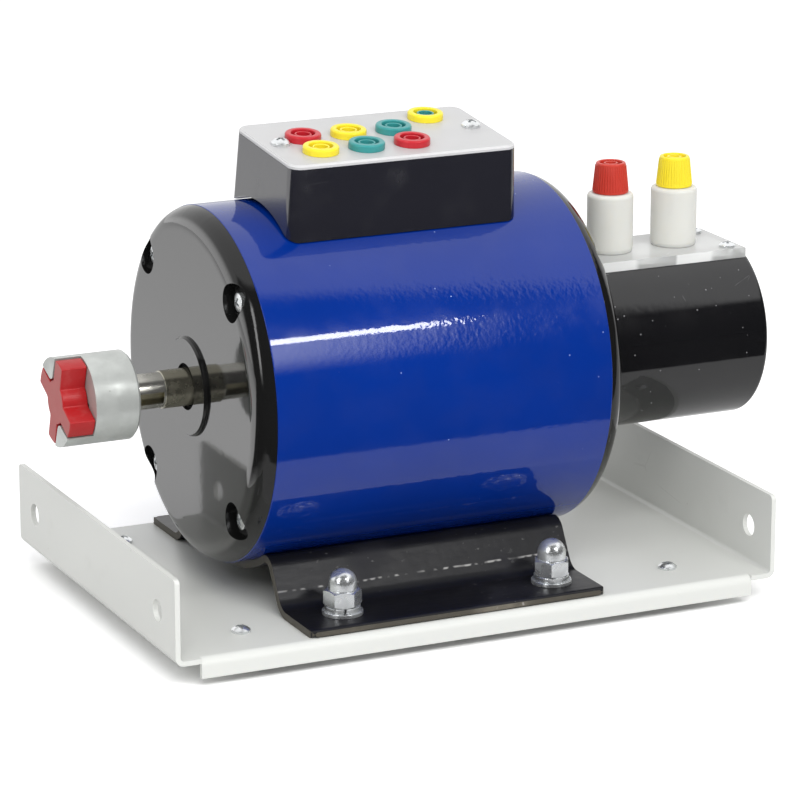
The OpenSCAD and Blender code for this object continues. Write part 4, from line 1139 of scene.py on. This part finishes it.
def washer(name: str, outer: float, inner: float, thick: float, split: float = 0.0) -> bpy.types.Mesh:
    """Return a flat washer, or a split spring washer.

    Args:
        name: name of the mesh.
        outer: outside diameter, in millimetres.
        inner: inside diameter.
        thick: thickness.
        split: width of the split, or 0 for a flat washer.

    Returns:
        The washer, standing on z = 0.
    """
    edge = 0.12 * thick + 0.05
    corners = [(inner / 2, 0), (outer / 2, 0), (outer / 2, thick), (inner / 2, thick)]
    section = eased([(r, z, edge) for r, z in corners], True)
    if not split:
        return turned(name, section, 72, True)
    bm = bmesh.new()
    gap = split / (outer / 2)
    steps = 60
    angles = [gap / 2 + (2 * math.pi - gap) * k / steps for k in range(steps + 1)]
    rows = [[bm.verts.new((r * math.cos(a), r * math.sin(a), z)) for r, z in section] for a in angles]
    for low, high in zip(rows, rows[1:]):
        for i in range(len(section)):
            n = (i + 1) % len(section)
            bm.faces.new((low[i], low[n], high[n], high[i]))
    bm.faces.new(rows[0])
    bm.faces.new(rows[-1])
    return mesh_from(bm, name)


# Sub-assemblies


@dataclass
class MotorSizes:
    """Places that several sub-assemblies share, in millimetres."""

    motor_x: float = -13.25
    axis_z: float = 92.5
    plate_z: float = 11.5
    face: float = 78.5

    def along_shaft(self, x: float, towards_drive: bool) -> Matrix:
        """Return the frame of a piece on the shaft line whose Z looks to the drive end or away from it."""
        turn = Matrix.Rotation(-math.pi / 2 if towards_drive else math.pi / 2, 4, "Y")
        return Matrix.Translation(Vector((self.motor_x + x, 0, self.axis_z)) * MM) @ turn


@dataclass
class BaseTray:
    """The folded plate with its stand pads and their screws."""

    sizes: MotorSizes
    repeat: Repeater
    pad_x: Point = (-96.75, 88.25)
    pad_y: float = 62.0

    def build(self) -> None:
        """Make and dress the plate, the pads and the screws."""
        soft_piece("tray_sheet", "base_plate", 0.4, PLATE_GREY)
        soft_piece("tray_pads", "rubber_pads", 0.3, BLACK_RUBBER)
        screw = Screw(*M4_HEAD, 7.0).mesh("pad_screw")
        self.repeat.set_out("tray_pad_screws", screw, four_spots(self.pad_x, self.pad_y), ZINC,
                            raised(self.sizes.plate_z), "pad_screws", CHANCE_TURN, 3)


@dataclass
class Saddle:
    """The bent saddle under the shell with its bolts, washers and cap nuts."""

    sizes: MotorSizes
    repeat: Repeater
    foot_x: Point = (-56.25, 33.75)
    foot_y: float = 66.5
    sheet: float = 3.0
    washer_t: float = 1.6
    spring_t: float = 2.0
    hole_d: float = 8.4
    nut: HexNut = field(default_factory=lambda: HexNut(13.0, 6.4, 8.0, 2.4, 5.6))

    def build(self) -> None:
        """Make and dress the saddle and its fasteners."""
        sheet = softened("motor_saddle", 0.7, edge_slot=1, corner=2.5)
        rim_y = 0.99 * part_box("motor_saddle")[1][1]
        for polygon in sheet.polygons:
            if abs(polygon.normal.x) > 0.9 or abs(polygon.center.y) > rim_y and abs(polygon.normal.z) < 0.5:
                polygon.material_index = 1
        piece("saddle_sheet", sheet, [SADDLE_BLACK, SADDLE_EDGE], "frame", "motor_saddle")
        z = self.sizes.plate_z + self.sheet
        flat = washer("washer", 16.0, self.hole_d, self.washer_t)
        spring = washer("spring_washer", 14.0, self.hole_d, self.spring_t, 1.2)
        stack = (("washers", flat, self.washer_t, 0.0),
                 ("spring_washers", spring, self.spring_t, 6.0),
                 ("cap_nuts", self.nut.mesh("cap_nut"), self.nut.height, 1.0))
        for kind, item, thick, turn in stack:
            self.repeat.set_out(f"saddle_{kind}", item, four_spots(self.foot_x, self.foot_y), ZINC, raised(z),
                                f"foot_{kind}", turn, 7)
            z += thick
        soft_piece("saddle_bolts", "foot_bolts", 0.25, ZINC)


@dataclass
class MotorFrame:
    """The blue shell, the black end shields, the shaft seal and the tie bolts that hold the shields."""

    sizes: MotorSizes
    repeat: Repeater
    shell_r: float = 70.5
    bore_r: float = 65.5
    half_l: float = 71.0
    tie_r: float = 61.0
    pocket: float = 5.0
    seal_in: float = 1.4
    seal: tuple[Corner, ...] = ((7.6, 1.1, 0.2), (8.0, 0.9, 0.2), (8.9, 0.9, 0.2), (9.05, 0.1, 0.05),
                                (9.25, 0.1, 0.05), (9.25, 2.9, 0.3), (7.6, 2.9, 0.3))

    def build(self) -> None:
        """Make and dress the shell, the shields, the tie bolts and the seal."""
        shell = [(self.bore_r, -self.half_l, 0.2), (self.shell_r, -self.half_l, 0.35),
                 (self.shell_r, self.half_l, 0.35), (self.bore_r, self.half_l, 0.2)]
        self._ring("frame_blue_shell", shell, 320, 0, MOTOR_BLUE, "frame_shell")
        for end in ("drive", "rear"):
            soft_piece(f"frame_{end}_shield", f"{end}_end_shield", 0.5, SHIELD_BLACK)
        self._ties()
        seal_x = -self.sizes.face - self.seal_in
        self._ring("frame_shaft_seal", self.seal, 72, seal_x, SEAL_SHADED_RUBBER, "shaft_seal")

    def _ring(self, name: str, section: Sequence[Corner], steps: int, x: float, finish: Finish,
              node: str) -> None:
        """Turn a closed section about the shaft line and put it into the scene.

        Args:
            name: name of the piece.
            section: radius, height and corner radius of each corner, in millimetres.
            steps: number of faces round the axis.
            x: its place along the shaft line.
            finish: its finish.
            node: CAD node that it stands for.
        """
        mesh = turned(name, eased(section, True), steps, True)
        mesh.transform(self.sizes.along_shaft(x, False))
        piece(name, mesh, [finish], "frame", node)

    def _ties(self) -> None:
        """Make the four tie bolts and their nuts."""
        reach = self.sizes.face - self.pocket
        angles = [math.radians(45 + 90 * k) for k in range(4)]
        spots = [(self.tie_r * math.cos(a), self.tie_r * math.sin(a), 0) for a in angles]
        bolt = Screw(*M4_HEAD, 2 * reach + 4.0, side=0.7).mesh("tie_bolt")
        self.repeat.set_out("frame_tie_bolts", bolt, spots, ZINC, self.sizes.along_shaft(-reach, True),
                            "tie_bolts", CHANCE_TURN, 5)
        nut = HexNut(6.6, 3.2, 4.04).mesh("tie_nut")
        self.repeat.set_out("frame_tie_nuts", nut, spots, ZINC, self.sizes.along_shaft(reach, False),
                            "tie_nuts", 1.0, 6)


@dataclass
class ShaftEnd:
    """The keyed shaft, the jaw hub and the red spider."""

    steel_ease: float = 0.2
    hub_ease: float = 0.55
    spider_ease: float = 0.45

    def build(self) -> None:
        """Make and dress the shaft, the key, the hub and the spider."""
        soft_piece("shaft_bar", "rotor_shaft", self.steel_ease, SHAFT_STEEL, "rotor")
        soft_piece("shaft_flat_key", "shaft_key", self.steel_ease, SHAFT_STEEL, "rotor")
        soft_piece("coupling_jaw_hub", "coupling_hub", self.hub_ease, HUB_CAST, "rotor")
        soft_piece("coupling_red_spider", "coupling_spider", self.spider_ease, SPIDER_RED, "rotor")


@dataclass
class BindingPost:
    """The ribbed cap of one binding post, in millimetres from the foot of its sleeve."""

    colour: str
    x: float
    foot_z: float
    finish: Finish
    ribs: Ribber
    sleeve_h: float = 24.3
    cap_h: float = 12.5
    foot_r: float = 7.3
    top_r: float = 6.2
    collar_h: float = 0.9
    inset: float = 0.18
    rib_count: int = 40
    rib_r: float = 0.32

    def build(self) -> None:
        """Make and dress the cap with its ribs; the sleeves are set by the tail."""
        foot, high = self.sleeve_h + 0.1, self.sleeve_h + self.cap_h
        low_r, high_r, shoulder = self.foot_r - self.inset, self.top_r - self.inset, foot + self.collar_h
        section = [(0, high - 4.4, 0), (2.1, high - 4.4, 0), (2.1, high - 0.3, 0.2), (2.9, high - 0.3, 0.25),
                   (2.9, high - 3, 0.2), (4.6, high - 3, 0.2), (4.6, high, 0.5), (high_r, high, 1.1),
                   (low_r, shoulder, 0.25), (self.foot_r, shoulder, 0.2), (self.foot_r, foot, 0.3),
                   (5.6, foot, 0), (5.6, 7.8, 0.2), (3.1, 7.8, 0.2), (3.1, high - 5, 0), (0, high - 5, 0)]
        cap = turned(f"{self.colour}_cap", eased(section), 96)
        start = bpy.data.meshes.new(f"{self.colour}_rib_start")
        ribs = self.ribs.run(f"post_{self.colour}_ribs", start, {
            "Count": self.rib_count, "Rib": self.rib_r * MM, "Finish": self.finish.material(),
            "Foot": Vector((low_r - 0.05, 0, shoulder)) * MM,
            "Top": Vector((high_r - 0.02, 0, high - 1.2)) * MM})
        for mesh in (cap, ribs):
            mesh.transform(Matrix.Translation(Vector((self.x, 0, self.foot_z)) * MM))
        body = f"{self.colour}_cap"
        piece(f"post_{self.colour}_cap", cap, [self.finish], body, f"{self.colour}_post_cap")
        piece(f"post_{self.colour}_ribs", ribs, [self.finish], body)


@dataclass
class SlipRingTail:
    """The slip ring cover, the clear plate on it and the two binding posts."""

    sizes: MotorSizes
    repeat: Repeater
    post_x: Point = (93.05, 122.35)
    flat: float = 31.7
    plate_t: float = 4.0
    screw_x: Point = (72.65, 139.75)
    screw_y: float = 14.0
    end_x: float = 147.25
    pillar: Point = (20.0, -16.8)
    bit: Point = (2.3, 0.5)
    sleeve: tuple[Corner, ...] = ((3.1, 0, 0.2), (8.9, 0, 0.6), (9.4, 1.6, 1.2), (9.4, 24.3, 1.5),
                                  (6.0, 24.3, 0.3), (6.0, 3, 0.2), (3.1, 3, 0.2))

    def build(self) -> None:
        """Make and dress the cover, the plate, their screws and the posts."""
        soft_piece("tail_cover", "slip_ring_cover", 0.6, COVER_BLACK)
        soft_piece("tail_clear_plate", "terminal_plate", 0.25, CLEAR_SHEET)
        top = self.sizes.axis_z + self.flat + self.plate_t
        screw = Screw(6.6, 2.0, 3.0, self.plate_t + 3.0).mesh("plate_screw")
        self.repeat.set_out("tail_plate_screws", screw, four_spots(self.screw_x, self.screw_y), ZINC,
                            raised(top), "terminal_plate_screws", CHANCE_TURN, 4)
        piece("tail_cover_screws", self._cover_screws(), [ZINC], "frame", "cover_screws")
        sleeve = turned("sleeve", eased(self.sleeve, True), 96, True)
        self.repeat.set_out("post_sleeves_milky", sleeve, [(x, 0, 0) for x in self.post_x], SLEEVE_WHITE,
                            raised(top), "post_sleeves")
        ribs = Ribber()
        for colour, x, finish in zip(("red", "yellow"), self.post_x, (CAP_RED, YELLOW_PLASTIC)):
            BindingPost(colour, x, top, finish, ribs).build()

    def _cover_screws(self) -> bpy.types.Mesh:
        """Cut a cross into each of the sunk screws in the cover's end.

        Returns:
            The screws as one mesh.
        """
        y, z = self.pillar
        screws = softened("cover_screws", 0.15)
        for side, turn in ((-1, 25.0), (-1, 115.0), (1, 62.0), (1, 152.0)):
            spot = Vector((self.end_x, side * y, self.sizes.axis_z + z)) * MM
            lie = Matrix.Rotation(math.pi / 2, 4, "Y") @ Matrix.Rotation(math.radians(turn), 4, "Z")
            bit = bar(*self.bit, -1.4, 1.0)
            bit.transform(Matrix.Translation(spot) @ lie)
            screws = combined(screws, bit, "DIFFERENCE")
        return screws


@dataclass
class TerminalBox:
    """The black box on the shell, its grey panel and the seven safety sockets."""

    sizes: MotorSizes
    repeat: Repeater
    shift: float = -2.0
    lean: float = 5.6
    top: float = 95.2
    columns: tuple[float, ...] = (-30.0, -10.7, 8.6, 27.9)
    front: float = -14.0
    rear: float = 3.2
    earth_row: float = 15.0
    screw_x: float = 40.75
    rim: tuple[Corner, ...] = ((2.63, -16, 0), (5.5, -16, 0.3), (5.5, 0, 0), (7.1, 0, 0.2), (7.1, 2.97, 0.9),
                               (4.7, 2.97, 0.5), (4.7, -13, 0.2))
    tube: tuple[Corner, ...] = ((3.4, -13, 0.2), (3.4, 2.4, 0.25), (2.63, 2.4, 0.25))
    rim_floor: tuple[Corner, ...] = ((3.41, -13, 0), (2.63, -13, 0))
    tube_foot: tuple[Corner, ...] = ((3.4, -12.9, 0), (2.63, -12.9, 0))

    def panel_frame(self) -> Matrix:
        """Work out where the panel is.

        Returns:
            The frame that stands on the middle of the panel.
        """
        middle = Vector((self.sizes.motor_x + self.shift, 0, self.sizes.axis_z)) * MM
        lean = Matrix.Rotation(math.radians(self.lean), 4, "X")
        return Matrix.Translation(middle) @ lean @ raised(self.top)

    def build(self) -> None:
        """Make and dress the box, the panel, its screws and the sockets."""
        soft_piece("box_housing", "terminal_box", 0.7, BOX_BLACK)
        panel = softened("terminal_panel", 0.35, edge_slot=1)
        piece("box_panel", panel, [PANEL_GREY, PANEL_EDGE], "frame", "terminal_panel")
        screw = Screw(*M4_HEAD, 9.0).mesh("panel_screw")
        self.repeat.set_out("box_panel_screws", screw, [(-self.screw_x, 0, 0), (self.screw_x, 0, 0)], ZINC,
                            self.panel_frame(), "panel_screws", CHANCE_TURN, 2)
        c, f, r = self.columns, self.front, self.rear
        for colour, spots, finish in (("red", [(c[0], r, 0), (c[2], f, 0)], RED_PLASTIC),
                                      ("yellow", [(c[0], f, 0), (c[1], r, 0)], YELLOW_PLASTIC),
                                      ("teal", [(c[1], f, 0), (c[2], r, 0)], TEAL_PLASTIC)):
            self._sockets(f"box_{colour}_sockets", self.rim + self.tube, spots, finish, f"{colour}_sockets")
        earth = [(c[3], self.earth_row, 0)]
        self._sockets("box_earth_rim", self.rim + self.rim_floor, earth, YELLOW_PLASTIC, "earth_socket")
        self._sockets("box_earth_tube", self.tube + self.tube_foot, earth, TEAL_PLASTIC, "earth_socket")

    def _sockets(self, name: str, section: Sequence[Corner], spots: Sequence[Spot], finish: Finish,
                 node: str) -> None:
        """Turn one socket shape and set it out on the panel."""
        item = turned(name + "_one", eased(section, True), 72, True)
        self.repeat.set_out(name, item, spots, finish, self.panel_frame(), node)


@dataclass
class InnerParts:
    """The CAD nodes that stay as they are: inside the housings, or hidden by other pieces."""

    nodes: dict[Finish, tuple[str, ...]] = field(default_factory=lambda: {
        BEARING_STEEL: ("front_bearing_outer", "rear_bearing_outer", "front_bearing_inner",
                        "rear_bearing_inner", "wave_spring", "brush_springs", "coupling_set_screw"),
        BRASS: ("front_ball_cage", "rear_ball_cage", "slip_rings", "post_studs", "post_nuts",
                "red_post_collar", "yellow_post_collar", "socket_contacts"),
        CORE_IRON: ("stator_core", "rotor_poles"),
        WINDING: ("stator_winding", "field_winding"),
        PHENOLIC: ("slip_ring_sleeve", "brush_holder"),
        CARBON: ("carbon_brushes",),
        ZINC: ("cover_pillars", "box_screws", "socket_nuts")})

    def build(self) -> None:
        """Dress each node with its finish."""
        for finish, names in self.nodes.items():
            for node in names:
                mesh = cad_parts[node].data
                mesh.materials.clear()
                mesh.materials.append(finish.material())
                LOG.info("%s stays, in %s", node, finish.name)


# Stage


def looking(at: Spot, right: Vector, back: Vector) -> Matrix:
    """Return the frame of a lamp or camera that stands at a place and looks away from back."""
    return Matrix.Translation(at) @ Matrix((right, back.cross(right), back)).transposed().to_4x4()


def grey(level: float) -> Colour:
    """Return a grey of this level."""
    return (level, level, level)


@dataclass(frozen=True)
class Lamp:
    """One area lamp: its place, aim and size in metres, its power, and whether it shows in reflections."""

    name: str
    at: Spot
    aim: Spot
    size: Point
    power: float
    mirrored: bool = False

    def hang(self) -> None:
        """Put the lamp into the scene."""
        lamp = bpy.data.lights.new(self.name, "AREA")
        lamp.shape, lamp.energy = "RECTANGLE", self.power
        lamp.size, lamp.size_y = self.size
        made = shown(self.name, lamp)
        away = (Vector(self.at) - Vector(self.aim)).normalized()
        side = Vector((1, 0, 0)) - away * away.x
        made.matrix_world = looking(self.at, side.normalized(), away)
        made.visible_glossy = self.mirrored
        made.visible_camera = False


@dataclass
class Studio:
    """The pale floor, the soft light and the camera at the photograph's angle."""

    eye: Spot = (-0.6531, -1.3979, 0.5073)
    back: Spot = (-0.4072, -0.8728, 0.2692)
    right: Spot = (0.9062, -0.4228, 0.0)
    lens: float = 180.05
    sensor: float = 36.0
    floor_half: float = 8.0
    floor_z: float = -0.0003
    fill: float = 0.68
    front: float = 0.02
    wall: float = 1.15
    glow: float = 4.2
    window: float = 7.0
    lamps: tuple[Lamp, ...] = (
        Lamp("front_softbox", (-0.3, -1.1, 1.2), (0, 0, 0.08), (1.3, 0.9), 15.5),
        Lamp("side_window", (-1.04, -0.57, 0.85), (-0.09, -0.05, 0.12), (0.16, 0.45), 0.9),
        Lamp("front_strip", (0.32, -0.975, 0.815), (-0.04, -0.063, 0.124), (0.36, 0.065), 1.8, True))

    def build(self) -> None:
        """Set up the floor, the surroundings, the lamps and the camera."""
        self._floor()
        self._surroundings()
        for lamp in self.lamps:
            lamp.hang()
        self._camera()
        bpy.context.scene.view_settings.view_transform = "Standard"

    def _floor(self) -> None:
        """Lay the floor, pale to the eye and darker in front of the part for reflections."""
        h, z = self.floor_half, self.floor_z
        mesh = bpy.data.meshes.new("floor")
        mesh.from_pydata([(-h, -h, z), (h, -h, z), (h, h, z), (-h, h, z)], [], [(0, 1, 2, 3)])
        sheet = FinishSheet("floor_paper")
        x, y = sheet.on("X"), sheet.on("Y")
        near = y.step(-0.17, -0.16) * x.step(-0.25, -0.18)
        mirrored = sheet.mix(sheet.mix(grey(0.025), grey(0.75), near), grey(1.04), y.step(0.04, 0.07))
        seen, glossy = sheet.rays()
        tone = sheet.mix(sheet.mix(grey(0.8), mirrored, glossy), grey(1.4), seen)
        sheet.close(sheet.node("ShaderNodeBsdfDiffuse", {}, {"Color": tone}))
        mesh.materials.append(sheet.material)
        shown("studio_floor", mesh)

    def _surroundings(self) -> None:
        """Give the world a white ceiling and rear wall and a dark front for reflections."""
        world = bpy.data.worlds.new("studio")
        bpy.context.scene.world = world
        world.use_nodes = True
        sheet = NodeSheet(world.node_tree)
        way = sheet.node("ShaderNodeTexCoord", {}, {}, "Generated")
        x, y, z = (sheet.parts(way, axis) for axis in "XYZ")
        slope = (y + 1.9 * x - 0.54 * z).step(-0.15, -0.03) * z.step(0.5, 0.6)
        ceiling = slope | (z + 0.6 * y).step(0.74, 0.84)
        rear = y.step(0.05, 0.25)
        across = 0.48 * x - 0.88 * y
        window = across.band((-0.09, -0.06), (0.09, 0.06)) * x.step(0.0, -0.2)
        window = window * z.band((0.05, 0.3), (0.8, 0.7))
        glow = z.band((0.24, 0.45), (0.6, 0.5)) * x.band((0.2, 0.34), (0.44, 0.365)) * y.step(-0.5, -0.7)
        seen, glossy = sheet.rays()
        mirror = self.front + self.wall * (ceiling | rear) + self.glow * glow + self.window * window
        level = seen + (1.0 - seen) * (glossy * mirror + (1.0 - glossy) * self.fill)
        shader = sheet.node("ShaderNodeBackground", {}, {"Color": grey(1.0), "Strength": level})
        sheet.node("ShaderNodeOutputWorld", {}, {"Surface": shader})

    def _camera(self) -> None:
        """Stand the camera where the photograph was taken."""
        eye = bpy.data.cameras.new("photo_camera")
        eye.lens, eye.sensor_width, eye.sensor_fit = self.lens, self.sensor, "HORIZONTAL"
        made = shown("photo_camera", eye)
        made.matrix_world = looking(self.eye, Vector(self.right).normalized(), Vector(self.back).normalized())
        bpy.context.scene.camera = made


def main() -> None:
    """Build the stage and every sub-assembly."""
    logging.basicConfig(level=logging.INFO, format="%(name)s: %(message)s")
    shared = (MotorSizes(), Repeater())
    for part in (Studio(), BaseTray(*shared), Saddle(*shared), MotorFrame(*shared), ShaftEnd(),
                 SlipRingTail(*shared), TerminalBox(*shared), InnerParts()):
        part.build()
        LOG.info("%s done", type(part).__name__)


if __name__ == "__main__":
    main()
